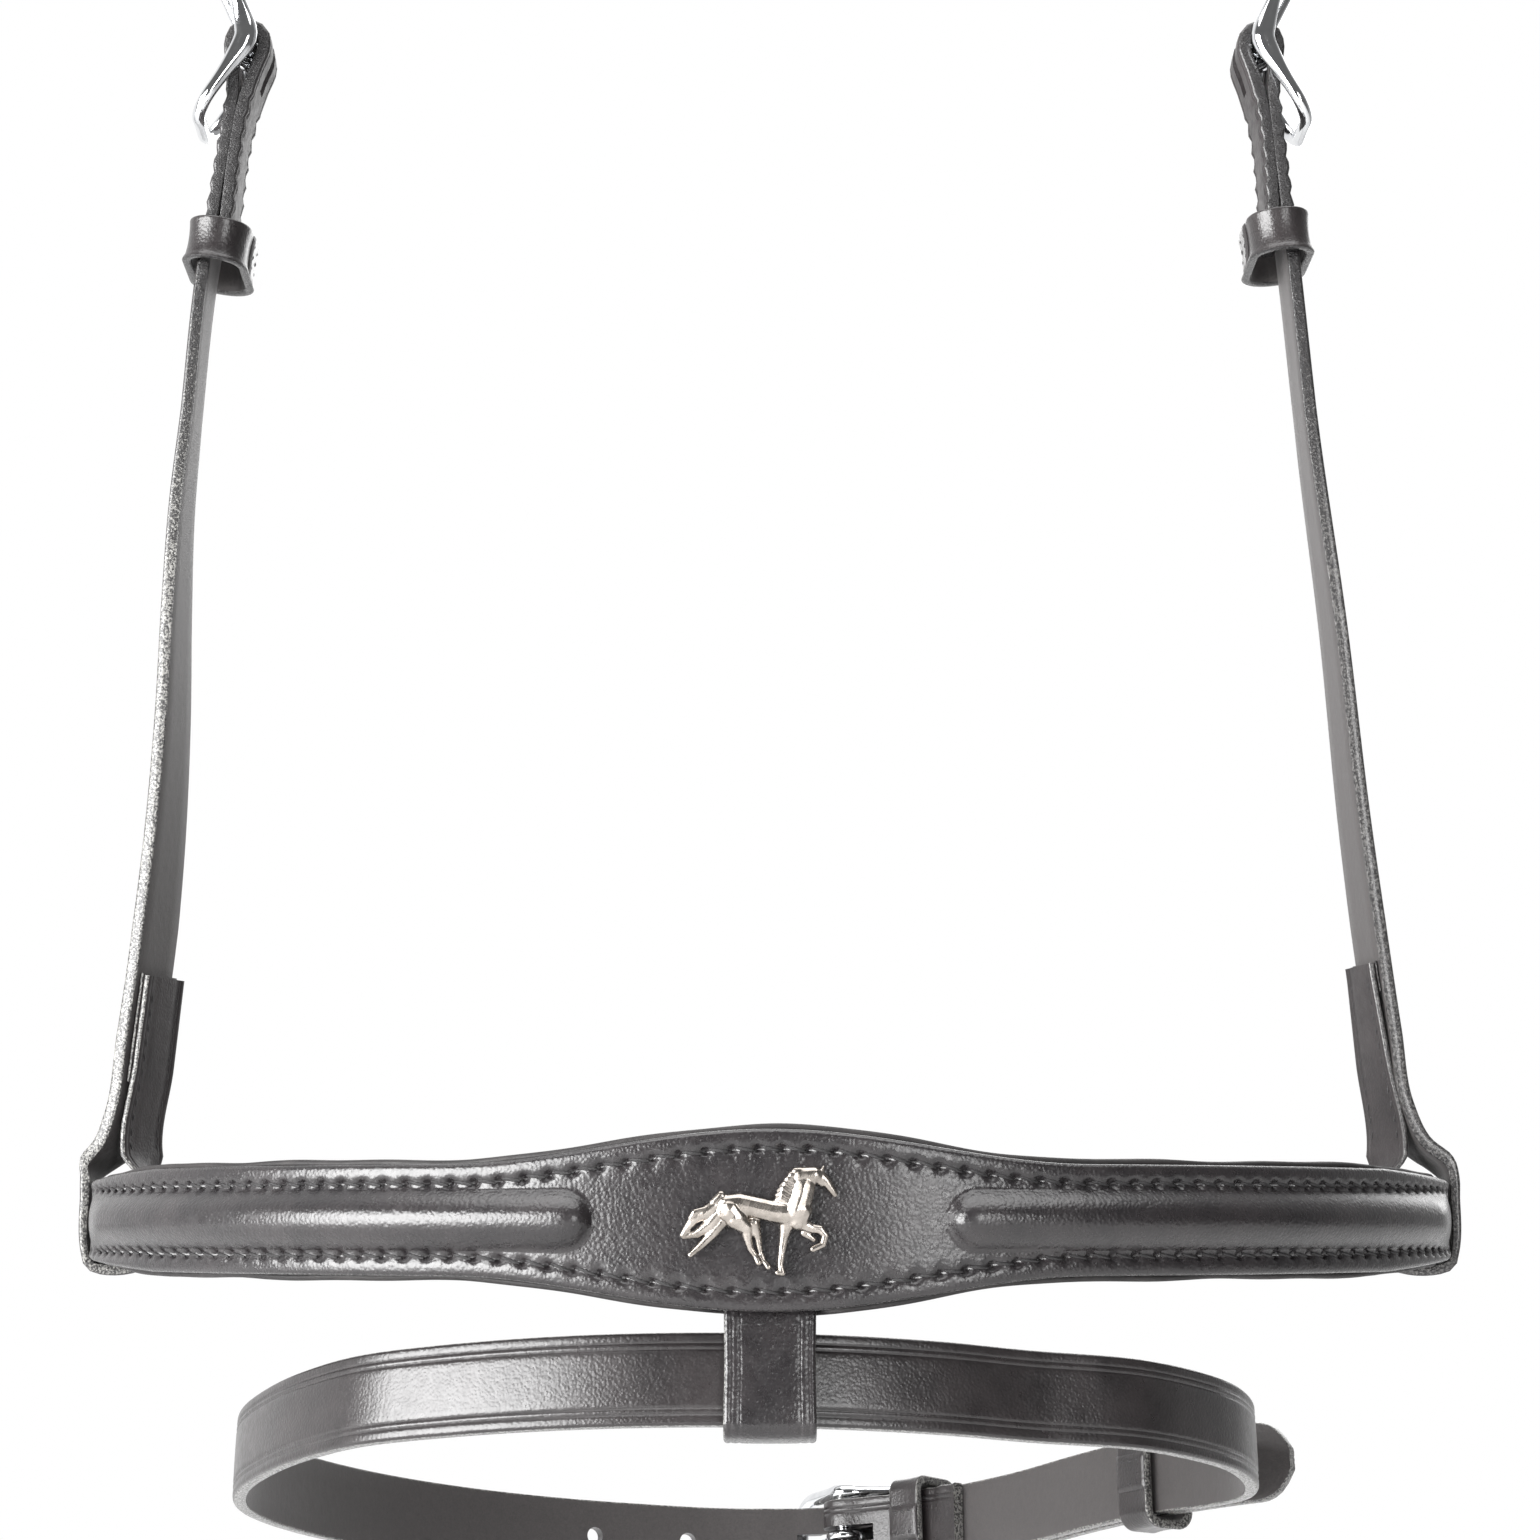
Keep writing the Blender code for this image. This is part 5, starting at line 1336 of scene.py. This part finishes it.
def keeper(name, matrix, inner, outer, body, node, sizes):
    """A leather band round the straps: oval, a little flared at its rims, its ends lapped and sewn inside."""
    height, slack, corner, flare = (size * MM for size in sizes)
    wall = KEEPER_WALL
    low = inner - wall / 2
    high = outer + wall / 2
    middle = (low + high) / 2
    depth = (high - low) / 2
    outline = keeper_outline(middle, depth, STRAP_WIDTH / 2 + slack + wall / 2, min(corner, depth * 0.98))
    half = height / 2
    section = leather_round(half, wall / 2, wall / 2, KEEPER_EDGE, KEEPER_EDGE, (0, 30, 60, 90))
    section += [(half * share, wall / 2, 0) for share in (-0.78, -0.66, -0.3, 0, 0.3, 0.66, 0.78)]
    rings = []
    for i, (n, w) in enumerate(outline):
        n0, w0 = outline[i - 1]
        n1, w1 = outline[(i + 1) % len(outline)]
        normal = Vector((w1 - w0, -(n1 - n0))).normalized()
        if normal.dot(Vector((n - middle, w))) < 0:
            normal = -normal
        ring = []
        for u, v, _ in section:
            lower_rim = flare * 0.9 if u < -half * 0.6 else 0
            bend = v + ((u / half) ** 2 * flare + lower_rim * ramp(-u, half * 0.6, half))
            ring.append(matrix @ Vector((n + normal.x * bend, w + normal.y * bend, u)))
        rings.append(ring)
    zones = [zone for _, _, zone in section]
    band = swept(f"{name}_leather", rings, zones, STRAP_FINISHES, closed=True)
    dress(band, body, "strap_leather", node)
    keeper_lap(name, matrix, middle - (depth + wall / 2), body, half, flare)


def keeper_lap(name, matrix, face, body, half, flare):
    """The keeper's lapped end, towards the inside, and its two short rows of stitches."""
    first, last, step = -3.4 * MM, 2.6 * MM, 0.6 * MM
    rounding = 0.15 * MM
    rings = []
    section = [(-1, -0.45), (-1, 0.2), (-0.93, 0.5), (-0.75, 0.62), (0, 0.66), (0.75, 0.62), (0.93, 0.5)]
    section += [(1, 0.2), (1, -0.45), (0, -0.45)]
    for w in even_distances(first, last, step):
        end = min(1, (w - first + rounding) / step, (last + rounding - w) / step)
        ring = []
        for u, v in section:
            rise = v * 0.75 * MM * (end if v > 0 else 1)
            ring.append(matrix @ Vector((face - (rise + flare * u * u * 0.8), w, u * (half - rounding))))
        rings.append(ring)
    flap = swept(f"{name}_lapped_end", rings, None, [STRAP_LEATHER, EDGE])
    dress(flap, body, "strap_leather")
    turn = matrix.to_3x3()
    out = (turn @ Vector((-1, 0, 0))).normalized()
    across = (turn @ Vector((0, 1, 0))).normalized()
    heights = even_distances(-half + 0.9 * MM, half - 0.9 * MM, 1.7 * MM)
    for label, w in (("first", -2.2 * MM), ("second", 1.5 * MM)):
        holes = [(matrix @ Vector((face - 0.52 * MM, w, u)), across, out) for u in heights]
        row = f"{name}_{label}_stitches"
        thread_row(row, holes, body, "strap_leather", THIN_THREAD, THIN_THREAD, 0.1 * MM)


def wire_frame(name, matrix, frame_size, body, node):
    """A buckle: rounded rails bent back to the bar, thicker along the sides, drawn in at the bar's ends."""
    corner = 4.0 * MM
    half_w = FRAME_HALF_WIDTH
    half_l, ends_back = frame_size
    outline = []
    for sign_w, sign_l, start in ((1, 1, 0), (-1, 1, 90), (-1, -1, 180), (1, -1, 270)):
        for angle in range(0, 91, 9):
            a = math.radians(start + angle)
            outline.append((
                sign_w * (half_w - corner) + corner * math.cos(a),
                sign_l * (half_l - corner) + corner * math.sin(a),
            ))
        if sign_w * sign_l < 0:
            straight = (half_l - corner) / half_l
            for share in even_distances(straight, -straight, -0.07)[1:-1]:
                outline.append((sign_w * half_w, sign_l * share * half_l))
        else:
            for share in (0.6, 0.2, -0.2, -0.6):
                outline.append((sign_w * share * (half_w - corner), sign_l * half_l))
    centres = []
    for w, u in outline:
        share = abs(u) / half_l
        set_back = ends_back * (math.sqrt(share * share + 0.01) - 0.1) / 0.905
        centres.append(Vector((set_back, w, u)))
    rings = []
    count = len(centres)
    for i, centre in enumerate(centres):
        onward = (centres[(i + 1) % count] - centres[i - 1]).normalized()
        outwards = Vector((0, centre.y, centre.z * 0.4)).normalized()
        outwards = (outwards - onward * outwards.dot(onward)).normalized()
        facing = onward.cross(outwards).normalized()
        at_bar = math.exp(-((centre.z / (2.4 * MM)) ** 2))
        thick = WIRE_RADIUS * (1 + 0.85 * math.exp(-((centre.z / (5 * MM)) ** 2)))
        wide = WIRE_RADIUS * (1.08 + 0.3 * at_bar)
        ring = []
        for bulge in map(Vector, circle(18)):
            flat = 0.86 if bulge.y * facing.x < -0.2 else 1.0
            ring.append(matrix @ (centre + outwards * bulge.x * wide + facing * bulge.y * thick * flat))
        rings.append(ring)
    piece = swept(f"{name}_frame", rings, None, [CHROME], closed=True, angle=60)
    dress(piece, body, "chrome", node)
    bar_rings = []
    for w in even_distances(-half_w, half_w, 0.5 * MM):
        radius = BAR_RADIUS * (1 + 0.35 * ramp(abs(w), half_w - 1.6 * MM, half_w))
        bar_rings.append([matrix @ Vector((radius * c, w, radius * s)) for c, s in circle(20)])
    bar = swept(f"{name}_bar", bar_rings, None, [CHROME], angle=60)
    dress(bar, body, "chrome")


def tongue(name, matrix, frame_size, body, node):
    """A tongue: an eye round the bar, and a stem that flattens towards its tip."""
    tip = tongue_tip(frame_size)
    start = tip.normalized() * (EYE_RADIUS * 0.9)
    run = Vector((tip.y - start.y, 0, tip.x - start.x))
    side = Vector((0, 1, 0))
    lift = side.cross(run).normalized()
    if lift.x < 0:
        lift = -lift
    rings = []
    for i in range(29):
        t = i / 28
        centre = Vector((start.y, 0, start.x)) + run * t
        radius = TONGUE_RADIUS * (1 - 0.22 * t)
        end = 1.0 if t < 0.9 else math.sqrt(max(0.02, 1 - ((t - 0.9) / 0.1) ** 2))
        dip = 0.18 * MM * math.exp(-(((t - 0.93) / 0.06) ** 2))
        centre -= lift * dip
        wide = side * radius * 1.08 * end
        rings.append([matrix @ (centre + wide * c + lift * radius * end * s) for c, s in circle(18)])
    stem = swept(f"{name}_stem", rings, None, [CHROME], angle=60)
    dress(stem, body, "chrome", node)
    eye_rings = []
    for c, s in circle(40):
        wire = [(EYE_RADIUS + EYE_WIRE * a, EYE_WIRE * 1.1 * b) for a, b in circle(14)]
        eye_rings.append([matrix @ Vector((reach * c, w, reach * s)) for reach, w in wire])
    eye = swept(f"{name}_eye", eye_rings, None, [CHROME], closed=True, angle=60)
    dress(eye, body, "chrome")


def cheek_assembly(side_name):
    cheek = Cheek(side_name)
    cheek_strap(cheek)
    cheek_filler(cheek)
    outer = HALF_LAYERS + STRAP / 2 + 0.4 * MM
    place = cheek.bar_matrix(KEEPER_DROP[side_name])
    node = f"cheek_keeper_{side_name}"
    inner = outer - CHEEK_KEEPER_DEEP
    keeper(f"{side_name}_cheek_keeper", place, inner, outer, node, node, CHEEK_KEEPER)
    for piece, make in (("buckle", wire_frame), ("tongue", tongue)):
        node = f"cheek_{piece}_{side_name}"
        make(f"{side_name}_cheek_{piece}", cheek.bar_matrix(), CHEEK_FRAME, node, node)


def rounded_end(distance_to_end, half_width):
    """The half width of a strap whose end is rounded."""
    reach = half_width * 0.9
    if distance_to_end >= reach:
        return half_width
    inside = 1 - max(0, distance_to_end) / reach
    return half_width * max(0.3, math.sqrt(1 - inside * inside))


def flash_strap():
    """The strap: folded round its bar, right round by the front to its buckle again, and on to its tip."""
    around = FLASH_LINE[1][-1]
    points = fold_points(STRAP, LAP_LENGTH)
    points += [Vector((around + point.x, point.y)) for point in over_bar(STRAP)]
    points += [Vector((around + FLASH_KEEPER_AT + step * MM, RESTING)) for step in (-12, 0, 5)]
    coarse = [flash_place(point.x, point.y)[0] for point in smooth_path(points, 5 * MM)]
    coarse += [flash_in_plane(*(value * MM for value in point)) for point in FLASH_TIP]
    path = smooth_path(coarse, STRAP_STEP)
    _, downward = flash_axes()
    halves = [rounded_end((place - path[-1]).length, STRAP_WIDTH / 2) for place in path]
    along_it = stations(path, [downward] * len(path), Vector((0, -1, 0)), halves, [STRAP] * len(path))
    bar = flash_matrix(0)
    down_of = fold_measure(bar, FOLD_ENDS)
    rings, zones = strap_rings(along_it, (1.5 * MM, 2.35 * MM), fold_shape(down_of))
    strap = swept("flash_leather", rings, zones, STRAP_FINISHES)
    cutters = [tongue_slot(bar), tongue_hole_cutter(bar, REAR_FRAME)]
    for distance in FLASH_HOLES:
        place, out, onward = flash_place(around + distance * MM, HALF_LAYERS)
        cutters.append(strap_hole(frame_matrix(out, onward, place)))
    cut_with(strap, cutters)
    dress(strap, "flash_strap", "strap_leather", "flash_strap")
    folded = [station for station in along_it if station.travelled < 70 * MM]
    fold_stitches("flash", folded, down_of, "flash_strap", ("lower", "upper"))


def tongue_hole_cutter(matrix, frame_size):
    """The hole in the buckled strap, which the tongue passes through."""
    tip = tongue_tip(frame_size)
    direction = Vector((tip.y, 0, tip.x))
    return round_cutter(matrix @ along(direction, direction * 0.56), 1.65 * MM, 9 * MM)


def flash_loop():
    """The tab: sewn in under the panel, it goes down, round the flash strap and up behind it."""
    rearward, downward = flash_axes()
    back = TAB + TAB_INSIDE
    bottom = FLASH_BELOW_PIVOT + STRAP_WIDTH + 0.4 * MM + TAB / 2
    top = FLASH_BELOW_PIVOT - 0.4 * MM - TAB / 2
    corner = 1.6 * MM
    quarter = [math.radians(angle) for angle in range(0, 91, 15)]
    points = [(0, -TAB_TOP), (0, 1 * MM), (0, 3 * MM), (0, 8 * MM), (0, bottom - corner)]
    low = bottom - corner
    far = back - corner
    points += [(corner - corner * math.cos(a), low + corner * math.sin(a)) for a in quarter[1:]]
    points += [(far + corner * math.sin(a), low + corner * math.cos(a)) for a in quarter]
    points += [(back, bottom - 6 * MM), (back, top + corner)]
    points += [(far + corner * math.cos(a), top + corner - corner * math.sin(a)) for a in quarter[1:]]
    points += [(TAB / 2 + GAP, top)]
    path = smooth_path([TAB_PIVOT + rearward * n + downward * d for n, d in points], 0.8 * MM)
    across = [Vector((1, 0, 0))] * len(path)
    halves = []
    for place in path:
        down = (place - TAB_PIVOT).dot(downward)
        waist = math.exp(-(((down - 7.5 * MM) / (5 * MM)) ** 2))
        halves.append(STRAP_WIDTH / 2 - 0.12 * MM * waist)
    along_it = stations(path, across, Vector((0, -1, 0)), halves, [TAB] * len(path))
    rings, zones = strap_rings(along_it, (1.0 * MM, 2.1 * MM), None, 0.1 * MM)
    tab = swept("flash_tab_leather", rings, zones, [PANEL_LEATHER, EDGE, BACK])
    dress(tab, "flash_loop", "strap_leather", "flash_loop")
    holes = []
    for x in even_distances(-4.6 * MM, 4.6 * MM, 2.3 * MM):
        point = TAB_PIVOT + downward * 1.75 * MM - rearward * TAB / 2 + Vector((x, 0, 0))
        holes.append((point, downward, -rearward))
    thread_row("flash_tab_stitches", holes, "flash_loop", "strap_leather", THIN_THREAD, 0.2 * MM, 0.1 * MM)


def flash_assembly():
    flash_loop()
    flash_strap()
    outer = RESTING + STRAP / 2 + 0.4 * MM
    wire_frame("flash_buckle", flash_matrix(0), REAR_FRAME, "flash_buckle", "flash_buckle")
    tongue("flash_tongue", flash_matrix(0), REAR_FRAME, "flash_buckle", "flash_tongue")
    fixed = flash_matrix(REAR_FRAME[0] + WIRE_RADIUS + 3.7 * MM)
    inner = -HALF_LAYERS - STRAP / 2 - 0.45 * MM
    keeper("flash_fixed_keeper", fixed, inner, outer, "flash_strap", "flash_keeper_fixed", FLASH_FIXED_KEEPER)
    inner = HALF_LAYERS - STRAP / 2 - 0.5 * MM
    running = flash_matrix(FLASH_KEEPER_AT)
    node = "flash_keeper_running"
    keeper("flash_running_keeper", running, inner, outer + 0.4 * MM, node, node, FLASH_RUNNING_KEEPER)


def chin_stations(points, hint, half_of=None):
    """Stations along a chin strap, through (distance from the bar, outward) points."""
    path = smooth_path(points, STRAP_STEP)
    places = [chin_place(point.x, point.y)[0] for point in path]
    halves = [half_of(point) if half_of else STRAP_WIDTH / 2 for point in path]
    return stations(places, [UP] * len(path), hint, halves, [CHIN_STRAP] * len(path))


def chin_strap_right():
    """The short strap: folded round its bar, forwards through the right cheek loop and sewn to the band."""
    points = fold_points(CHIN_STRAP, LAP_LENGTH)
    sewn = (BEHIND_LOOP, LOOP_FRONT + LOOP_LENGTH, LOOP_FRONT, CHIN_SEWN)
    points += [Vector((CHIN_BAR - d, CHIN_HALF_LAYERS)) for d in sewn]
    along_it = chin_stations(points, -chin_place(LAP_LENGTH, 0)[1])
    bar = chin_matrix(0)
    down_of = fold_measure(bar, FOLD_ENDS)
    rings, zones = strap_rings(along_it, (1.5 * MM,), fold_shape(down_of))
    strap = swept("right_chin_leather", rings, zones, STRAP_FINISHES)
    cut_with(strap, [tongue_slot(bar)])
    dress(strap, "nose_band", "strap_leather", "chin_strap_right")
    folded = [station for station in along_it if station.travelled < 72 * MM]
    fold_stitches("right_chin", folded, down_of, "nose_band", ("upper", "lower"))


def chin_strap_left():
    """The long strap: sewn to the band, through the left cheek loop and the buckle, to its round tip."""
    start = CHIN_BAR - (2 * RING_HALF - CHIN_SEWN)
    left_loop = start + LOOP_FRONT - CHIN_SEWN
    end = CHIN_BAR - ring_distance(CHIN_TIP_TURN)
    sewn = (start, left_loop, left_loop + LOOP_LENGTH, left_loop + BEHIND_LOOP - LOOP_FRONT)
    points = [Vector((distance, CHIN_HALF_LAYERS)) for distance in sewn]
    points += over_bar(CHIN_STRAP)
    points += [Vector((end - back, CHIN_RESTING)) for back in (5 * MM, 2.5 * MM, 0)]
    hint = chin_place(start, 0)[1]
    along_it = chin_stations(points, hint, lambda point: rounded_end(end - point.x, STRAP_WIDTH / 2))
    rings, zones = strap_rings(along_it, (1.5 * MM,))
    strap = swept("left_chin_leather", rings, zones, STRAP_FINISHES)
    cutters = [tongue_hole_cutter(chin_matrix(0), REAR_FRAME)]
    cutters += [strap_hole(chin_matrix(distance * MM, CHIN_HALF_LAYERS)) for distance in CHIN_HOLES]
    cut_with(strap, cutters)
    dress(strap, "nose_band", "strap_leather", "chin_strap_left")


def chin_assembly():
    chin_strap_right()
    chin_strap_left()
    outer = CHIN_RESTING + CHIN_STRAP / 2 + 0.35 * MM
    wire_frame("chin_buckle", chin_matrix(0), REAR_FRAME, "chin_buckle", "chin_buckle")
    tongue("chin_tongue", chin_matrix(0), REAR_FRAME, "chin_buckle", "chin_tongue")
    fixed = chin_matrix(REAR_FRAME[0] + WIRE_RADIUS + 4.6 * MM)
    inner = -CHIN_HALF_LAYERS - CHIN_STRAP / 2 - 0.35 * MM
    keeper("chin_fixed_keeper", fixed, inner, outer, "nose_band", "chin_keeper_fixed", CHIN_FIXED_KEEPER)
    running = chin_matrix(CHIN_BAR - ring_distance(CHIN_KEEPER_TURN))
    inner = CHIN_HALF_LAYERS - CHIN_STRAP / 2 - 0.4 * MM
    node = "chin_keeper_running"
    keeper("chin_running_keeper", running, inner, outer, node, node, CHIN_RUNNING_KEEPER)


def prong_places():
    """Where the horse's two prongs go through the panel."""
    return [HORSE_MIDDLE + Vector((-3.2 * MM, 0, 0.6 * MM)), HORSE_MIDDLE + Vector((3.6 * MM, 0, 1.2 * MM))]


def add_blob(grid, start, end, radius_a, radius_b, flatness):
    """A round-ended taper from start to end: a limb, a neck or a lock of hair, flattened in depth."""
    run = end - start
    steps = max(4, round(run.length / (0.35 * MM)))
    for i in range(steps + 1):
        t = i / steps
        radius = radius_a + (radius_b - radius_a) * t
        centre = start.lerp(end, t)
        made = bmesh.ops.create_icosphere(grid, subdivisions=2, radius=radius)
        for vert in made["verts"]:
            vert.co = Vector((vert.co.x, vert.co.y * flatness, vert.co.z)) + centre


def chain(grid, points, flatness=0.75):
    """Blobs through (x, z, depth, radius) points, as shares of the horse's length."""
    unit = HORSE_LENGTH
    for (x0, z0, y0, r0), (x1, z1, y1, r1) in zip(points, points[1:]):
        start = Vector((x0, -y0, z0)) * unit
        end = Vector((x1, -y1, z1)) * unit
        add_blob(grid, start, end, r0 * unit, r1 * unit, flatness)


# Each part's round-ended tapers, through (x, z, depth, radius) points.
HORSE_PARTS = {
    "barrel": [
        (-0.196, 0.083, 0.05, 0.070), (-0.124, 0.090, 0.05, 0.072), (-0.021, 0.070, 0.05, 0.070),
        (0.082, 0.045, 0.05, 0.072), (0.175, 0.035, 0.05, 0.080),
    ],
    "rump": [(-0.180, 0.050, 0.055, 0.085), (-0.140, 0.005, 0.055, 0.072)],
    "shoulder": [(0.255, 0.055, 0.055, 0.084), (0.245, -0.010, 0.05, 0.066)],
    "neck": [(0.235, 0.050, 0.055, 0.088), (0.262, 0.125, 0.055, 0.082), (0.280, 0.200, 0.055, 0.078),
             (0.296, 0.256, 0.05, 0.066)],
    "crest": [(0.262, 0.258, 0.06, 0.064), (0.345, 0.268, 0.06, 0.056)],
    "head": [(0.384, 0.268, 0.05, 0.038), (0.426, 0.225, 0.05, 0.032), (0.464, 0.172, 0.045, 0.024),
             (0.478, 0.150, 0.04, 0.020)],
    "cheek": [(0.366, 0.255, 0.055, 0.040), (0.400, 0.222, 0.05, 0.026)],
    "ear": [(0.398, 0.292, 0.055, 0.017), (0.406, 0.322, 0.05, 0.008)],
    "raised foreleg": [
        (0.290, -0.040, 0.045, 0.040), (0.335, -0.062, 0.045, 0.031), (0.385, -0.068, 0.045, 0.027),
        (0.418, -0.105, 0.045, 0.023), (0.402, -0.160, 0.045, 0.022), (0.340, -0.190, 0.045, 0.021),
    ],
    "far foreleg": [(0.285, -0.090, 0.03, 0.026), (0.345, -0.130, 0.03, 0.017)],
    "standing foreleg": [
        (0.175, -0.020, 0.04, 0.050), (0.160, -0.110, 0.04, 0.030), (0.146, -0.205, 0.04, 0.023),
        (0.136, -0.285, 0.04, 0.020), (0.148, -0.335, 0.045, 0.023), (0.118, -0.335, 0.045, 0.018),
    ],
    "near thigh": [(-0.150, 0.000, 0.06, 0.070), (-0.085, -0.050, 0.055, 0.046)],
    "near hind leg": [
        (-0.080, -0.050, 0.05, 0.042), (-0.068, -0.124, 0.045, 0.028), (-0.052, -0.186, 0.04, 0.020),
        (-0.022, -0.230, 0.04, 0.018), (0.000, -0.272, 0.045, 0.021),
    ],
    "far hind leg": [
        (-0.030, -0.030, 0.04, 0.042), (-0.004, -0.124, 0.035, 0.023), (0.010, -0.206, 0.03, 0.017),
        (0.032, -0.262, 0.03, 0.017), (0.060, -0.300, 0.035, 0.020),
    ],
    "dock": [(-0.237, 0.142, 0.06, 0.032), (-0.278, 0.098, 0.06, 0.032)],
    "upper tail": [
        (-0.278, 0.080, 0.055, 0.038), (-0.345, 0.030, 0.06, 0.040), (-0.402, 0.000, 0.055, 0.034),
        (-0.440, -0.050, 0.05, 0.026), (-0.474, -0.103, 0.045, 0.022),
    ],
    "middle tail": [
        (-0.247, 0.040, 0.05, 0.042), (-0.315, -0.040, 0.05, 0.038), (-0.390, -0.095, 0.05, 0.028),
        (-0.470, -0.115, 0.045, 0.016),
    ],
    "lower tail": [
        (-0.216, -0.005, 0.045, 0.042), (-0.295, -0.100, 0.045, 0.032), (-0.360, -0.165, 0.045, 0.026),
        (-0.428, -0.225, 0.045, 0.018),
    ],
    "tail curl": [(-0.330, 0.058, 0.07, 0.020), (-0.400, 0.038, 0.07, 0.022), (-0.425, 0.000, 0.065, 0.018)],
}


def mane_locks():
    """Locks of the mane, from the withers to the forehead, each a short curl lying back off the crest."""
    locks = []
    for i in range(7):
        t = i / 6
        root = Vector((0.190 + 0.070 * t * t, 0.095 + 0.195 * t))
        tip = root + Vector((-0.084 + 0.030 * t, 0.018 - 0.050 * t * t))
        bend = root.lerp(tip, 0.55) + Vector((0.0, 0.020))
        locks.append([(*root, 0.075, 0.030), (*bend, 0.080, 0.024), (*tip, 0.06, 0.013)])
    return locks


def horse_ornament():
    """A cast horse at a high-stepping walk, in low relief, on two prongs through the panel."""
    grid = bmesh.new()
    for points in HORSE_PARTS.values():
        chain(grid, points)
    for points in mane_locks():
        chain(grid, points)
    mesh = bpy.data.meshes.new("cast_horse")
    grid.to_mesh(mesh)
    grid.free()
    horse = bpy.data.objects.new("cast_horse", mesh)
    bpy.context.scene.collection.objects.link(horse)
    fuse = horse.modifiers.new("fuse", "REMESH")
    fuse.mode = "VOXEL"
    fuse.voxel_size = HORSE_VOXEL
    ease = horse.modifiers.new("ease", "SMOOTH")
    ease.factor = 0.5
    ease.iterations = 4
    cut_with(horse, [])
    seat = -(PANEL_FACE + 0.12 * MM)
    for vert in horse.data.vertices:
        y = vert.co.y + seat
        vert.co = Vector((vert.co.x, min(y, seat), vert.co.z)) + Vector((HORSE_MIDDLE.x, 0, HORSE_MIDDLE.z))
    horse.data.shade_smooth()
    horse.data.materials.clear()
    horse.data.materials.append(NICKEL)
    dress(horse, "nose_band", "nickel", "horse_ornament")
    for i, place in enumerate(prong_places()):
        rings = []
        for share in (0, 0.25, 0.5, 0.75, 0.94, 1):
            radius = PRONG_RADIUS * (1 if share < 0.9 else 0.75 if share < 1 else 0.35)
            y = seat - 0.6 * MM + share * (PANEL_FACE - MIDDLE_AT + 0.7 * MM)
            rings.append([Vector((place.x + radius * c, y, place.z + radius * s)) for c, s in circle(14)])
        prong = swept(f"horse_prong_{i}", rings, None, [NICKEL])
        dress(prong, "nose_band", "nickel")


def lights():
    """Soft rectangles of light, all turned to the middle of the object."""
    for name, place, size, power in LIGHTS:
        data = bpy.data.lights.new(name, "AREA")
        data.shape = "RECTANGLE"
        data.size, data.size_y = size
        data.energy = power
        lamp = bpy.data.objects.new(name, data)
        bpy.context.scene.collection.objects.link(lamp)
        lamp.location = place
        lamp.rotation_euler = (LIT_MIDDLE - Vector(place)).to_track_quat("-Z", "Y").to_euler()


def room():
    """White where the camera sees it; in reflections bright behind and dim in front and on the right."""
    world = bpy.data.worlds.new("white studio")
    bpy.context.scene.world = world
    world.use_nodes = True
    tree = world.node_tree
    tree.nodes.clear()
    rays = add_node(tree, "ShaderNodeLightPath")
    mirrored = maths(tree, "MAXIMUM", rays.outputs["Is Glossy Ray"], rays.outputs["Is Transmission Ray"])
    facing = add_node(tree, "ShaderNodeTexCoord").outputs["Generated"]
    facing = add_node(tree, "ShaderNodeSeparateXYZ", {0: facing})
    behind = spread(tree, facing.outputs["Y"], *BRIGHT_BEHIND)
    rightwards = spread(tree, facing.outputs["X"], *DIM_RIGHTWARDS)
    mirrored = maths(tree, "MULTIPLY", maths(tree, "MULTIPLY", mirrored, behind), rightwards)
    seen = maths(tree, "MAXIMUM", rays.outputs["Is Camera Ray"], mirrored)
    strength = maths(tree, "MAXIMUM", seen, ROOM_DIMMEST)
    background = add_node(tree, "ShaderNodeBackground", {"Color": (1, 1, 1, 1), "Strength": strength})
    add_node(tree, "ShaderNodeOutputWorld", {"Surface": background.outputs[0]})


def floor():
    """A pale floor below the hanging noseband: white where the camera looks, with its shadow kept."""
    mesh = bpy.data.meshes.new("floor")
    plane = bmesh.new()
    bmesh.ops.create_grid(plane, x_segments=1, y_segments=1, size=FLOOR_HALF)
    plane.to_mesh(mesh)
    plane.free()
    ground = bpy.data.objects.new("floor", mesh)
    bpy.context.scene.collection.objects.link(ground)
    ground.location.z = CAD_BOX[0][2] - FLOOR_BELOW
    finish = Finish("pale floor", Roughness=0.8, Specular_IOR_Level=0.1, Emission_Color=(1, 1, 1, 1))
    finish.colour(finish.noise(0.05, 3), 0.3, 0.7, (0.84, 0.84, 0.84), (0.88, 0.88, 0.88))
    seen = add_node(finish.tree, "ShaderNodeLightPath").outputs["Is Camera Ray"]
    glow = maths(finish.tree, "MULTIPLY", seen, FLOOR_GLOW)
    finish.tree.links.new(glow, finish.shader.inputs["Emission Strength"])
    mesh.materials.append(finish.material)


def camera():
    data = bpy.data.cameras.new("camera")
    data.lens = CAMERA_LENS
    data.sensor_width = CAMERA_SENSOR
    data.clip_start = 0.01
    eye = bpy.data.objects.new("camera", data)
    bpy.context.scene.collection.objects.link(eye)
    eye.location = (0, -CAMERA_BACK, 0)
    eye.rotation_euler = (math.pi / 2 + CAMERA_PITCH, 0, 0)
    bpy.context.scene.camera = eye


bpy.context.scene.view_settings.view_transform = "Standard"
camera()
room()
floor()
lights()
nose_panel()
panel_stitches()
nose_lining()
nose_padding()
roll_core("roll_core_left", -1)
roll_core("roll_core_right", 1)
horse_ornament()
for name_of_side in ("left", "right"):
    cheek_assembly(name_of_side)
flash_assembly()
chin_assembly()
